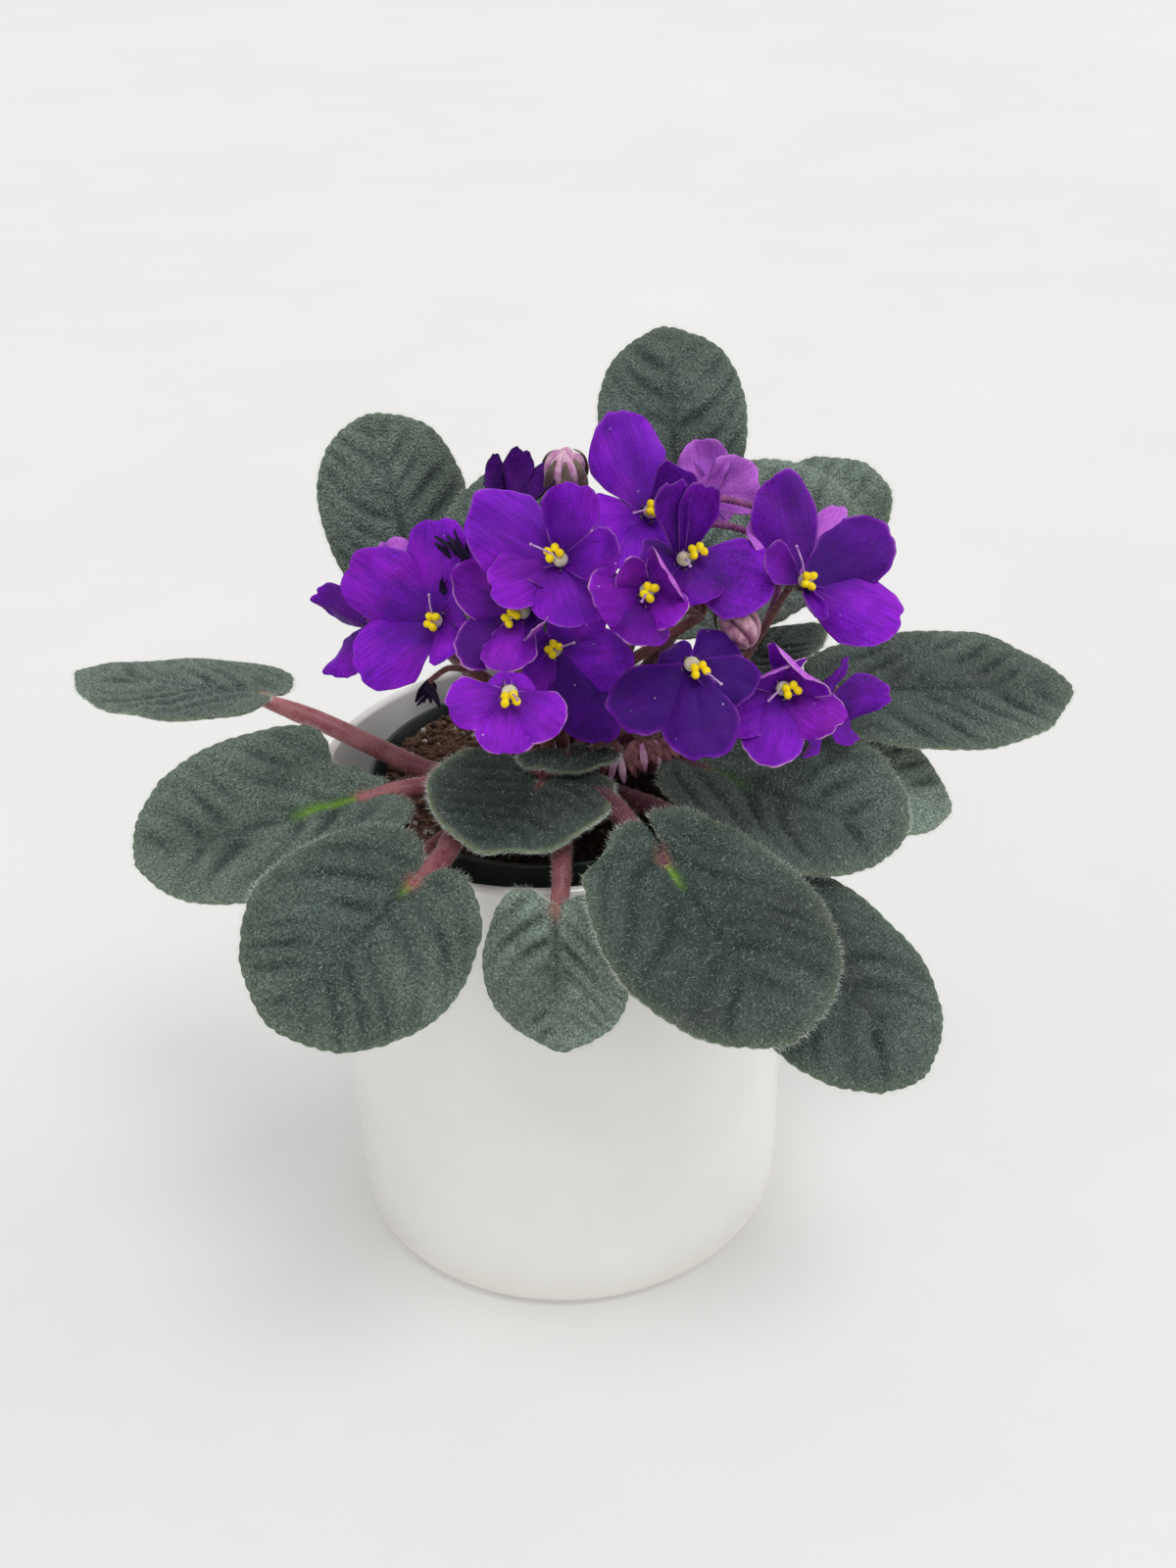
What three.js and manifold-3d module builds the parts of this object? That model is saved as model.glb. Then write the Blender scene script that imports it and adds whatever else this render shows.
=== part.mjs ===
// Potted African violet: a rosette of stalked leaves with sprays of violet blooms above it,
// in a thin nursery pot that stands inside a plain white cachepot.
// Millimetres, +Z up. The origin is the middle of the cachepot's flat base, +Y points away
// from the viewer and +X to the viewer's right.

import * as THREE from 'three';
import { mergeVertices } from 'three/addons/utils/BufferGeometryUtils.js';
import Module from 'manifold-3d';

const wasm = await Module();
wasm.setup();

// ---------------------------------------------------------------- driving dimensions

const ROUND_SEGMENTS = 44;          // sides of each turned pot
const CLEARANCE = 0.3;              // gap between pieces that touch

const CACHEPOT_RADIUS = 62.5;       // outside, at the rim
const CACHEPOT_FOOT_RADIUS = 61.7;  // outside, just above the rounded foot
const CACHEPOT_HEIGHT = 139.2;
const CACHEPOT_WALL = 3;
const CACHEPOT_FLOOR = 4;
const CACHEPOT_FOOT_ROUND = 4;

const NURSERY_RIM_RADIUS = 49;
const NURSERY_RIM_BAND = 8;         // height of the thickened rim
const NURSERY_TOP_RADIUS = 46.8;    // outside, under the rim
const NURSERY_FOOT_RADIUS = 37;
const NURSERY_WALL = 1.4;
const NURSERY_TOP = 137.8;
const NURSERY_DRAIN_RADIUS = 7;

const SOIL_SECTORS = 24;
const SOIL_RINGS = 5;
const SOIL_LEVEL = 134;
const SOIL_ROUGHNESS = 1.6;
const SOIL_SEED = 41;

const CROWN_CENTRE = new THREE.Vector3(0, -8, 0);
const CROWN_RADIUS = 7;
const CROWN_FOOT = 126;
const CROWN_TOP = 146;
const STALK_ROOT = 139;             // height at which the leaf stalks leave the crown
const STALK_SIDES = 6;
const STALK_STEPS = 6;
const RIM_CROSSING = 61;            // distance from the pot's axis at which stalks pass its rim

const LEAF_THICKNESS = 1;
const LEAF_SECTORS = 24;            // two to a tooth of the scalloped edge
const LEAF_RINGS = [0.42, 0.78, 1];
const LEAF_MIDDLE = 0.45;           // centre of the blade along its midrib
const LEAF_LOBE = 0.2;              // how far the heart's lobes reach behind the stalk
const NOTCH_WIDTH = 0.36;           // radians
const TOOTH_DEPTH = 0.02;           // of the radius

const PETAL_THICKNESS = 0.9;
const PETALS = 5;
const PETAL_SECTORS = 5;
const PETAL_RINGS = [0.35, 0.7, 1];
const CLEFT_DEPTH = 0.36;
const PETAL_HALF_WIDTH = 36;        // widest, in degrees round the throat
const PETAL_CROWNING = 0.1;         // how far a petal's sides bend back
const THROAT_DEPTH = 2.5;

const CALYX_LENGTH = 4;
const CALYX_RADIUS = 2.6;
const STEM_SIDES = 4;
const PEDUNCLE_RADIUS = 1.7;
const PEDICEL_RADIUS = 1.1;

const ANTHER_RADIUS = 1.25;
const ANTHER_RISE = 1.9;
const ANTHER_SPREAD = 1.25;

// ---------------------------------------------------------------- where the leaves are

// base: where the stalk meets the blade. heading: the way the blade points, in degrees from
// +X towards +Y. tilt: above the level. roll: about the midrib. cup and droop: shares of the
// width and the length. stalk: radius of the leaf stalk. hook: how far the stalk runs in line
// with the blade before they meet. arch: how far the stalk rises above a straight line.
const LEAVES = [
  { name: 'leaf_far_left', base: [-74, 9, 159], heading: 164, tilt: -3, roll: -9,
    length: 53, width: 47, cup: 0.01, droop: -0.08, stalk: 2.6, hook: 12, arch: -6 },
  { name: 'leaf_left', base: [-47, -24, 146], heading: 198, tilt: -6, roll: 20,
    length: 58, width: 53, cup: 0.1, droop: -0.02, stalk: 2.6, hook: 10, arch: 0 },
  { name: 'leaf_left_under', base: [-37, -55, 142], heading: 229, tilt: -38, roll: 0,
    length: 30, width: 27, cup: 0.02, droop: 0.05, stalk: 1.6, hook: 6, arch: 2 },
  { name: 'leaf_front_left', base: [-32, -70, 150], heading: 234, tilt: -10, roll: 30,
    length: 50, width: 51, cup: 0, droop: 0.06, stalk: 2.6, hook: 10, arch: 2 },
  { name: 'leaf_front', base: [-1, -74, 143], heading: 262, tilt: -68, roll: -15,
    length: 34, width: 36, cup: 0.04, droop: 0.06, stalk: 2.2, hook: 4, arch: 4 },
  { name: 'leaf_front_right', base: [24, -68, 152], heading: 299, tilt: -22, roll: 6,
    length: 53, width: 57, cup: 0.03, droop: 0.03, stalk: 2.6, hook: 10, arch: 2 },
  { name: 'leaf_low_right', base: [46, -64, 134], heading: 319, tilt: -25, roll: -1,
    length: 55, width: 54, cup: 0.0, droop: 0.08, stalk: 2.4, hook: 6, arch: 10 },
  { name: 'leaf_right', base: [38, -23, 149], heading: 341, tilt: -20, roll: -14,
    length: 52, width: 53, cup: 0.07, droop: -0.14, stalk: 2.6, hook: 8, arch: 1 },
  { name: 'leaf_right_under', base: [62, -10, 145], heading: 348, tilt: -17, roll: -11,
    length: 44, width: 41, cup: 0.02, droop: 0.04, stalk: 2, hook: 8, arch: 2 },
  { name: 'leaf_far_right', base: [79, 8, 153], heading: 355, tilt: -1, roll: -11,
    length: 57, width: 51, cup: 0.01, droop: 0, stalk: 2.6, hook: 12, arch: 3 },
  { name: 'leaf_back_left', base: [-36, 46, 173], heading: 114, tilt: 64, roll: 0,
    length: 46, width: 44, cup: 0, droop: 0.02, stalk: 2.4, hook: 8, arch: 0 },
  { name: 'leaf_back', base: [37, 46, 195], heading: 88, tilt: 48, roll: -2,
    length: 49, width: 41, cup: 0.02, droop: 0.04, stalk: 2.4, hook: 8, arch: 0 },
  { name: 'leaf_back_right', base: [32, 24, 180], heading: 352, tilt: 21, roll: -30,
    length: 52, width: 54, cup: 0.04, droop: 0.03, stalk: 2.4, hook: 8, arch: 0 },
  { name: 'leaf_back_far_right', base: [53, 36, 181], heading: 350, tilt: 24, roll: -25,
    length: 43, width: 49, cup: 0.02, droop: 0.02, stalk: 2.2, hook: 8, arch: 0 },
  { name: 'leaf_inner_front', base: [-3, -31, 151], heading: 250, tilt: 6, roll: 6,
    length: 38, width: 44, cup: 0.14, droop: 0, stalk: 2.2, hook: 6, arch: 0 },
  { name: 'leaf_inner_dark', base: [4, -17, 152], heading: 270, tilt: 10, roll: 0,
    length: 15, width: 26, cup: 0.05, droop: 0.0, stalk: 1.6, hook: 3, arch: 0 },
  { name: 'leaf_inner_right', base: [34, 6, 156], heading: 16, tilt: 15, roll: 8,
    length: 42, width: 35, cup: 0.02, droop: 0.02, stalk: 2, hook: 6, arch: 0 },
  { name: 'leaf_back_centre', base: [-6, 26, 169], heading: 95, tilt: 52, roll: 3,
    length: 42, width: 39, cup: 0.02, droop: 0.03, stalk: 2.2, hook: 8, arch: 0 },
  { name: 'leaf_inner_back', base: [3, 12, 147], heading: 70, tilt: 12, roll: 0,
    length: 34, width: 30, cup: 0.03, droop: 0.02, stalk: 2, hook: 5, arch: 0 },
];

// ---------------------------------------------------------------- where the blooms are

// centre: the throat. face: azimuth and elevation of the way the bloom looks. petals, in
// turn anticlockwise: the way each points, from the bloom's top, its length, and the angle
// that it folds forward, in degrees. anthers: false where they are hidden.
const BLOOMS = [
  { name: '01', centre: [26.9, -2.4, 209.1], face: [-75, 40], anthers: true,
    petals: [[5, 26, 5], [100, 17, 12], [150, 19, 10], [222, 14, 20], [300, 16, 35]] },
  { name: '02', centre: [4, -28.5, 208.7], face: [-88, 35], anthers: true,
    petals: [[55, 23.7, 5], [97, 18.5, 0], [190, 15.5, 10], [262, 16, 42], [344, 19, 35]] },
  { name: '03', centre: [33.2, -22.7, 205], face: [-81, 45], anthers: true,
    petals: [[15, 21, 48], [84, 11, 20], [200, 14, 5], [244, 21.5, -4], [337, 20, 50]] },
  { name: '04', centre: [62.4, -21, 197.2], face: [-76, 31], anthers: true,
    petals: [[7, 27.5, 5], [66, 15.5, 30], [172, 14.5, 38], [235, 25.5, 5], [289, 24.5, 3]] },
  { name: '05', centre: [23.4, -40, 205], face: [-87, 35], anthers: true,
    petals: [[44, 9, 35], [106, 14.5, 30], [162, 15, 25], [220, 12, 32], [285, 8, 45]] },
  { name: '06', centre: [-5.3, -29.5, 196.4], face: [-105, 30], anthers: true,
    petals: [[66, 18.5, 10], [130, 18.8, 10], [170, 16.5, 20], [232, 11.5, 30], [330, 10, -10]] },
  { name: '07', centre: [-27, -14.5, 188], face: [-112, 25], anthers: true,
    petals: [[3, 25.5, 8], [65, 26.5, 8], [131, 24.5, 8], [215, 14, 35], [290, 14, 40]] },
  { name: '08', centre: [-47, 5, 178], face: [-150, 5], anthers: false,
    petals: [[15, 13, 15], [75, 19, 20], [158, 18, 20], [230, 14, 10], [300, 14, 10]] },
  { name: '09', centre: [1.8, -14, 178.4], face: [-75, 33], anthers: true,
    petals: [[55, 14, 30], [130, 17, 0], [202, 26, 2], [248, 20.5, 5], [320, 15, 20]] },
  { name: '10', centre: [-8.9, -53, 187.5], face: [-85, 45], anthers: true,
    petals: [[35, 9, -35], [102, 15.4, 5], [168, 16, 3], [227, 15.2, 5], [323, 9, -35]] },
  { name: '11', centre: [33.3, -41, 186.5], face: [-95, 48], anthers: true,
    petals: [[50, 11, -35], [125, 22.5, -5], [188, 24, -3], [250, 16.5, -5], [310, 16, -35]] },
  { name: '12', centre: [55, -40, 178.5], face: [-88, 48], anthers: true,
    petals: [[20, 9, 60], [115, 17.6, 0], [161, 20, 0], [226, 16.8, 3], [315, 10, 60]] },
  { name: '13', centre: [71, -22, 162.5], face: [-35, 10], anthers: false,
    petals: [[20, 12, 10], [120, 14, 5], [200, 14, 20], [262, 18, 20], [318, 15, 5]] },
  { name: '14', centre: [-7, 8, 210], face: [-60, 60], anthers: false,
    petals: [[34, 9.5, 60], [104, 11, 65], [180, 11.5, 60], [256, 11, 65], [326, 9.5, 60]] },
  { name: '15', centre: [42.2, 11, 206.2], face: [75, -5], anthers: false,
    petals: [[50, 13, 0], [120, 13, 10], [190, 13, 10], [260, 13, 10], [350, 17, 5]] },
];

const BUDS = [
  { name: 'bud_upper', centre: [6.5, 9.5, 215], face: [-90, 70], radius: 4.6, length: 7 },
  { name: 'bud_hanging', centre: [46, -25, 189], face: [-60, -50], radius: 4.2, length: 6.5 },
];

// Each spray: where its stem leaves the crown's top, where it forks, and what it carries.
const SPRAYS = [
  { name: 'flower_stem_left', root: [-4.2, -8.5], fork: [-20, -8, 172],
    carries: ['07', '08', '14', '09'] },
  { name: 'flower_stem_front', root: [-1.5, -12.4], fork: [-13, -36, 165], carries: ['10', '06'] },
  { name: 'flower_stem_top', root: [-0.8, -5.5], fork: [10, 4, 190],
    carries: ['01', '02', '15', 'bud_upper'] },
  { name: 'flower_stem_middle', root: [3.2, -5.6], fork: [39, -7, 183],
    carries: ['03', '05', 'bud_hanging'] },
  { name: 'flower_stem_right', root: [3.2, -9.7], fork: [44, -16, 166],
    carries: ['04', '13', '12', '11'] },
];

// ---------------------------------------------------------------- finishes

const FINISHES = {
  white_glaze: { color: 0xf1efec, roughness: 0.2, metalness: 0 },
  dark_plastic: { color: 0x27352f, roughness: 0.5, metalness: 0 },
  soil: { color: 0x3a2a21, roughness: 0.95, metalness: 0 },
  stalk: { color: 0x9a5560, roughness: 0.65, metalness: 0 },
  leaf: { color: 0x46544a, roughness: 0.75, metalness: 0 },
  flower_stem: { color: 0x5d3238, roughness: 0.7, metalness: 0 },
  petal: { color: 0x5a16a8, roughness: 0.5, metalness: 0 },
  anther: { color: 0xf2cf10, roughness: 0.5, metalness: 0 },
  bud: { color: 0xc98ac0, roughness: 0.55, metalness: 0 },
};

const part = new THREE.Group();

function place(name, geometry, finish) {
  const mesh = new THREE.Mesh(geometry, new THREE.MeshStandardMaterial(FINISHES[finish]));
  mesh.name = name;
  part.add(mesh);
}

// ---------------------------------------------------------------- joining and cutting

function weld(geometry) {
  const bare = geometry.clone();
  bare.deleteAttribute('normal');
  bare.deleteAttribute('uv');
  return mergeVertices(bare, 1e-4);
}

function toSolid(geometry) {
  const welded = weld(geometry);
  const vertProperties = new Float32Array(welded.attributes.position.array);
  const triVerts = new Uint32Array(welded.index.array);
  return new wasm.Manifold(new wasm.Mesh({ numProp: 3, vertProperties, triVerts }));
}

function toGeometry(solid) {
  const mesh = solid.getMesh();
  const geometry = new THREE.BufferGeometry();
  geometry.setAttribute('position', new THREE.BufferAttribute(mesh.vertProperties, 3));
  geometry.setIndex(new THREE.BufferAttribute(mesh.triVerts, 1));
  return geometry;
}

function join(geometries) {
  const solids = geometries.map(toSolid);
  return toGeometry(solids.reduce((whole, piece) => whole.add(piece)));
}

// ---------------------------------------------------------------- shared shapes

const radians = THREE.MathUtils.degToRad;

// A turned solid from [radius, height] pairs, given in order round the section.
function turned(profile) {
  const points = profile.map(([radius, height]) => new THREE.Vector2(radius, height));
  return new THREE.LatheGeometry(points, ROUND_SEGMENTS).rotateX(Math.PI / 2);
}

// A round bar of few sides along a smooth line through the points.
function bar(points, radius, sides, steps) {
  const section = new THREE.Shape();
  for (let i = 0; i < sides; i += 1) {
    const angle = (2 * Math.PI * i) / sides;
    const corner = [radius * Math.cos(angle), radius * Math.sin(angle)];
    if (i === 0) section.moveTo(...corner);
    else section.lineTo(...corner);
  }
  section.closePath();
  const extrudePath = new THREE.CatmullRomCurve3(points, false, 'centripetal');
  return new THREE.ExtrudeGeometry(section, { steps, bevelEnabled: false, extrudePath });
}

// A closed thin blade over a round grid: surface(sector, share) gives its upper face, where
// share runs from 0 at the middle to 1 at the edge. Both faces have the same triangles.
function blade(sectors, rings, surface, thickness) {
  const upper = [surface(0, 0)];
  for (const share of rings) {
    for (let sector = 0; sector < sectors; sector += 1) upper.push(surface(sector, share));
  }
  const at = (ring, sector) => 1 + ring * sectors + (sector % sectors);
  const faces = [];
  for (let sector = 0; sector < sectors; sector += 1) {
    faces.push([0, at(0, sector), at(0, sector + 1)]);
    for (let ring = 1; ring < rings.length; ring += 1) {
      faces.push([at(ring - 1, sector), at(ring, sector), at(ring, sector + 1)]);
      faces.push([at(ring - 1, sector), at(ring, sector + 1), at(ring - 1, sector + 1)]);
    }
  }
  const sheet = new THREE.BufferGeometry().setFromPoints(upper);
  sheet.setIndex(faces.flat());
  sheet.computeVertexNormals();
  const normal = new THREE.Vector3();
  const lower = upper.map((point, i) => {
    normal.fromBufferAttribute(sheet.attributes.normal, i);
    return point.clone().addScaledVector(normal, -thickness);
  });
  const count = upper.length;
  const closed = [...faces, ...faces.map(([a, b, c]) => [count + a, count + c, count + b])];
  const edge = rings.length - 1;
  for (let sector = 0; sector < sectors; sector += 1) {
    const [a, b] = [at(edge, sector), at(edge, sector + 1)];
    closed.push([a, count + a, count + b], [a, count + b, b]);
  }
  const solid = new THREE.BufferGeometry().setFromPoints([...upper, ...lower]);
  solid.setIndex(closed.flat());
  return solid;
}

// ---------------------------------------------------------------- pots and soil

function cachepot() {
  const inside = CACHEPOT_RADIUS - CACHEPOT_WALL;
  const insideFoot = CACHEPOT_FOOT_RADIUS - CACHEPOT_WALL;
  const round = CACHEPOT_FOOT_ROUND;
  const lip = CACHEPOT_WALL / 2;
  return turned([
    [0, 0],
    [CACHEPOT_FOOT_RADIUS - round, 0],
    [CACHEPOT_FOOT_RADIUS - 0.3 * round, 0.3 * round],
    [CACHEPOT_FOOT_RADIUS, round],
    [CACHEPOT_RADIUS, CACHEPOT_HEIGHT - 0.5 * lip],
    [CACHEPOT_RADIUS - 0.4 * lip, CACHEPOT_HEIGHT],
    [inside + 0.4 * lip, CACHEPOT_HEIGHT],
    [inside, CACHEPOT_HEIGHT - 0.5 * lip],
    [insideFoot, CACHEPOT_FLOOR],
    [0, CACHEPOT_FLOOR],
  ]);
}

const NURSERY_FOOT = CACHEPOT_FLOOR + CLEARANCE;
const NURSERY_SHOULDER = NURSERY_TOP - NURSERY_RIM_BAND;

// Outside radius of the nursery pot's wall at a height below its rim.
function nurseryRadius(height) {
  const share = (height - NURSERY_FOOT) / (NURSERY_SHOULDER - NURSERY_FOOT);
  return THREE.MathUtils.lerp(NURSERY_FOOT_RADIUS, NURSERY_TOP_RADIUS, share);
}

function nurseryPot() {
  const floor = NURSERY_FOOT + NURSERY_WALL;
  return turned([
    [NURSERY_DRAIN_RADIUS, NURSERY_FOOT],
    [NURSERY_FOOT_RADIUS, NURSERY_FOOT],
    [NURSERY_TOP_RADIUS, NURSERY_SHOULDER],
    [NURSERY_RIM_RADIUS - 0.4, NURSERY_SHOULDER],
    [NURSERY_RIM_RADIUS, NURSERY_TOP],
    [NURSERY_RIM_RADIUS - NURSERY_WALL, NURSERY_TOP],
    [nurseryRadius(NURSERY_SHOULDER) - NURSERY_WALL, NURSERY_SHOULDER - 1],
    [NURSERY_FOOT_RADIUS - NURSERY_WALL, floor],
    [NURSERY_DRAIN_RADIUS, floor],
    [NURSERY_DRAIN_RADIUS, NURSERY_FOOT],
  ]);
}

// Small repeatable random numbers from 0 to 1.
function randomFrom(seed) {
  let state = seed;
  return () => {
    state = (state * 16807) % 2147483647;
    return state / 2147483647;
  };
}

function soil() {
  const random = randomFrom(SOIL_SEED);
  const bottom = NURSERY_FOOT + NURSERY_WALL + CLEARANCE;
  const inset = NURSERY_WALL + 2 * CLEARANCE;
  const edgeRadius = nurseryRadius(SOIL_LEVEL - SOIL_ROUGHNESS) - inset;
  const points = [new THREE.Vector3(0, 0, SOIL_LEVEL)];
  for (let ring = 1; ring <= SOIL_RINGS; ring += 1) {
    for (let sector = 0; sector < SOIL_SECTORS; sector += 1) {
      const angle = (2 * Math.PI * sector) / SOIL_SECTORS;
      const radius = (edgeRadius * ring) / SOIL_RINGS;
      const height = SOIL_LEVEL - SOIL_ROUGHNESS * random();
      points.push(new THREE.Vector3(radius * Math.cos(angle), radius * Math.sin(angle), height));
    }
  }
  const footRadius = nurseryRadius(bottom) - inset;
  for (let sector = 0; sector < SOIL_SECTORS; sector += 1) {
    const angle = (2 * Math.PI * sector) / SOIL_SECTORS;
    points.push(new THREE.Vector3(footRadius * Math.cos(angle), footRadius * Math.sin(angle), bottom));
  }
  points.push(new THREE.Vector3(0, 0, bottom));
  const at = (ring, sector) => 1 + (ring - 1) * SOIL_SECTORS + (sector % SOIL_SECTORS);
  const faces = [];
  for (let sector = 0; sector < SOIL_SECTORS; sector += 1) {
    faces.push(0, at(1, sector), at(1, sector + 1));
    for (let ring = 2; ring <= SOIL_RINGS + 1; ring += 1) {
      faces.push(at(ring - 1, sector), at(ring, sector), at(ring, sector + 1));
      faces.push(at(ring - 1, sector), at(ring, sector + 1), at(ring - 1, sector + 1));
    }
    faces.push(points.length - 1, at(SOIL_RINGS + 1, sector + 1), at(SOIL_RINGS + 1, sector));
  }
  const heap = new THREE.BufferGeometry().setFromPoints(points);
  heap.setIndex(faces);
  const depth = SOIL_LEVEL - CROWN_FOOT + 10;
  const hole = new THREE.CylinderGeometry(
    CROWN_RADIUS + CLEARANCE, CROWN_RADIUS + CLEARANCE, depth, 12);
  hole.rotateX(Math.PI / 2);
  hole.translate(CROWN_CENTRE.x, CROWN_CENTRE.y, CROWN_FOOT - CLEARANCE + depth / 2);
  return toGeometry(toSolid(heap).subtract(toSolid(hole)));
}

// ---------------------------------------------------------------- leaves

// The blade's own directions: along the midrib, to its right, and out of its upper face.
function leafFrame({ heading, tilt, roll }) {
  const [h, t] = [radians(heading), radians(tilt)];
  const along = new THREE.Vector3(Math.cos(h) * Math.cos(t), Math.sin(h) * Math.cos(t), Math.sin(t));
  const right = new THREE.Vector3(Math.sin(h), -Math.cos(h), 0);
  const up = new THREE.Vector3().crossVectors(right, along);
  right.applyAxisAngle(along, -radians(roll));
  up.applyAxisAngle(along, -radians(roll));
  return { along, right, up };
}

// The upper face of a heart-shaped blade with a scalloped edge.
function leafSurface(leaf) {
  const { along, right, up } = leafFrame(leaf);
  const base = new THREE.Vector3(...leaf.base);
  const notch = LEAF_LOBE / (LEAF_MIDDLE + LEAF_LOBE);
  return (sector, share) => {
    const angle = (2 * Math.PI * sector) / LEAF_SECTORS;      // from the tip, to the left
    const fromNotch = Math.abs(Math.PI - angle) / NOTCH_WIDTH;
    const heart = 1 - notch * Math.exp(-(fromNotch ** 2));
    const tooth = sector % 2 === 0 ? 1 : 1 - TOOTH_DEPTH * share;
    const reach = Math.cos(angle) > 0 ? 1 - LEAF_MIDDLE : LEAF_MIDDLE + LEAF_LOBE;
    const x = -share * heart * tooth * (leaf.width / 2) * Math.sin(angle);
    const y = leaf.length * (LEAF_MIDDLE + share * heart * tooth * reach * Math.cos(angle));
    const side = Math.abs(x) / (leaf.width / 2);
    const z = leaf.cup * leaf.width * side ** 1.6 - leaf.droop * Math.sign(y) * (y ** 2 / leaf.length);
    return base.clone().addScaledVector(right, x).addScaledVector(along, y).addScaledVector(up, z);
  };
}

// The share of a straight way out at which it passes the cachepot's rim, or half of it.
function crossingShare(start, end) {
  const steps = 100;
  for (let step = 1; step < steps; step += 1) {
    const point = start.clone().lerp(end, step / steps);
    if (Math.hypot(point.x, point.y) > RIM_CROSSING) return step / steps;
  }
  return 0.5;
}

// A leaf stalk from the crown, over the rims, to just under the blade's base.
function leafStalk(leaf) {
  const { along, up } = leafFrame(leaf);
  const base = new THREE.Vector3(...leaf.base);
  const below = leaf.stalk + LEAF_THICKNESS + 2 * CLEARANCE;
  const root = CROWN_CENTRE.clone().setZ(STALK_ROOT);
  const outward = base.clone().sub(root).setZ(0).normalize();
  const start = root.clone().addScaledVector(outward, 0.4 * CROWN_RADIUS);
  const joint = base.clone().addScaledVector(along, -leaf.hook).addScaledVector(up, -below);
  const end = base.clone().addScaledVector(along, 4).addScaledVector(up, -below);
  const middle = start.clone().lerp(joint, crossingShare(start, joint));
  middle.z += leaf.arch;
  return bar([start, middle, joint, end], leaf.stalk, STALK_SIDES, STALK_STEPS);
}

function crown() {
  const height = CROWN_TOP - CROWN_FOOT;
  const stump = new THREE.CylinderGeometry(0.8 * CROWN_RADIUS, CROWN_RADIUS, height, 12);
  stump.rotateX(Math.PI / 2);
  stump.translate(CROWN_CENTRE.x, CROWN_CENTRE.y, CROWN_FOOT + height / 2);
  return join([stump, ...LEAVES.map(leafStalk)]);
}

// ---------------------------------------------------------------- blooms and buds

// A flower's own directions: the way it looks, its top, and its right seen from the front.
function flowerFrame([azimuth, elevation]) {
  const [a, e] = [radians(azimuth), radians(elevation)];
  const front = new THREE.Vector3(Math.cos(a) * Math.cos(e), Math.sin(a) * Math.cos(e), Math.sin(e));
  const top = new THREE.Vector3(-Math.cos(a) * Math.sin(e), -Math.sin(a) * Math.sin(e), Math.cos(e));
  const right = new THREE.Vector3().crossVectors(top, front);
  return { front, top, right };
}

// Five petals in one sheet, with deep clefts between them and a funnel in the middle.
function corollaSurface(bloom) {
  const { front, top, right } = flowerFrame(bloom.face);
  const centre = new THREE.Vector3(...bloom.centre);
  const gapFrom = (petal) => {
    const [from] = bloom.petals[petal];
    const [to] = bloom.petals[(petal + 1) % PETALS];
    return (to - from + 360) % 360;
  };
  return (sector, share) => {
    const petal = Math.floor(sector / PETAL_SECTORS);
    const before = (petal + PETALS - 1) % PETALS;
    const [own, last] = [bloom.petals[petal], bloom.petals[before]];
    const across = (2 * (sector % PETAL_SECTORS)) / PETAL_SECTORS - 1;   // -1 is a cleft
    const halfGap = gapFrom(across < 0 ? before : petal) / 2;
    const narrowing = Math.min(1, PETAL_HALF_WIDTH / halfGap);
    const atCleft = across === -1;
    const azimuth = radians(own[0] + across * halfGap * (atCleft ? 1 : narrowing));
    const length = atCleft ? (narrowing * (own[1] + last[1])) / 2 : own[1];
    const lift = atCleft ? (own[2] + last[2]) / 2 : own[2];
    const radius = share * length * (1 - CLEFT_DEPTH * Math.abs(across) ** 5);
    const angle = radians(lift) * (0.4 + 0.6 * share);
    const forward = radius * Math.sin(angle)
      - THROAT_DEPTH * (1 - share) ** 2
      - PETAL_CROWNING * own[1] * (across * share) ** 2;
    const outward = radius * Math.cos(angle);
    return centre.clone()
      .addScaledVector(top, outward * Math.cos(azimuth))
      .addScaledVector(right, -outward * Math.sin(azimuth))
      .addScaledVector(front, forward);
  };
}

// Two short anthers side by side, each of two sacs, on a stub in the throat.
function anthers(bloom) {
  const { front, top, right } = flowerFrame(bloom.face);
  const turn = new THREE.Matrix4().makeBasis(right, top, front);
  const pieces = [];
  for (const side of [-1, 1]) {
    for (const row of [-1, 1]) {
      const sac = new THREE.OctahedronGeometry(ANTHER_RADIUS, 0);
      sac.translate(0.5 * side * ANTHER_SPREAD * 1.4, 0.5 * row * ANTHER_SPREAD, ANTHER_RISE);
      pieces.push(sac);
    }
  }
  const stubLength = ANTHER_RISE + THROAT_DEPTH - CLEARANCE - 0.3;
  const stub = new THREE.CylinderGeometry(0.6, 0.6, stubLength, 5).rotateX(Math.PI / 2);
  stub.translate(0, 0, ANTHER_RISE - stubLength / 2);
  pieces.push(stub);
  const cluster = join(pieces);
  cluster.applyMatrix4(turn);
  return cluster.translate(...bloom.centre);
}

// A closed bud: a small egg of petals not yet open.
function bud({ centre, face, radius, length }) {
  const { front, top, right } = flowerFrame(face);
  const egg = new THREE.SphereGeometry(1, 8, 6).rotateX(Math.PI / 2);
  egg.scale(radius, radius, length);
  egg.applyMatrix4(new THREE.Matrix4().makeBasis(right, top, front));
  return egg.translate(...centre);
}

// ---------------------------------------------------------------- flower stems

// Where a pedicel ends: the back of a corolla or bud, and the way it points there.
function seatOf(name) {
  const bloom = BLOOMS.find((item) => item.name === name);
  if (bloom) {
    const back = THROAT_DEPTH + PETAL_THICKNESS + CLEARANCE;
    return { centre: bloom.centre, front: flowerFrame(bloom.face).front, back };
  }
  const closed = BUDS.find((item) => item.name === name);
  return { centre: closed.centre, front: flowerFrame(closed.face).front,
    back: closed.length + CLEARANCE };
}

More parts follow.
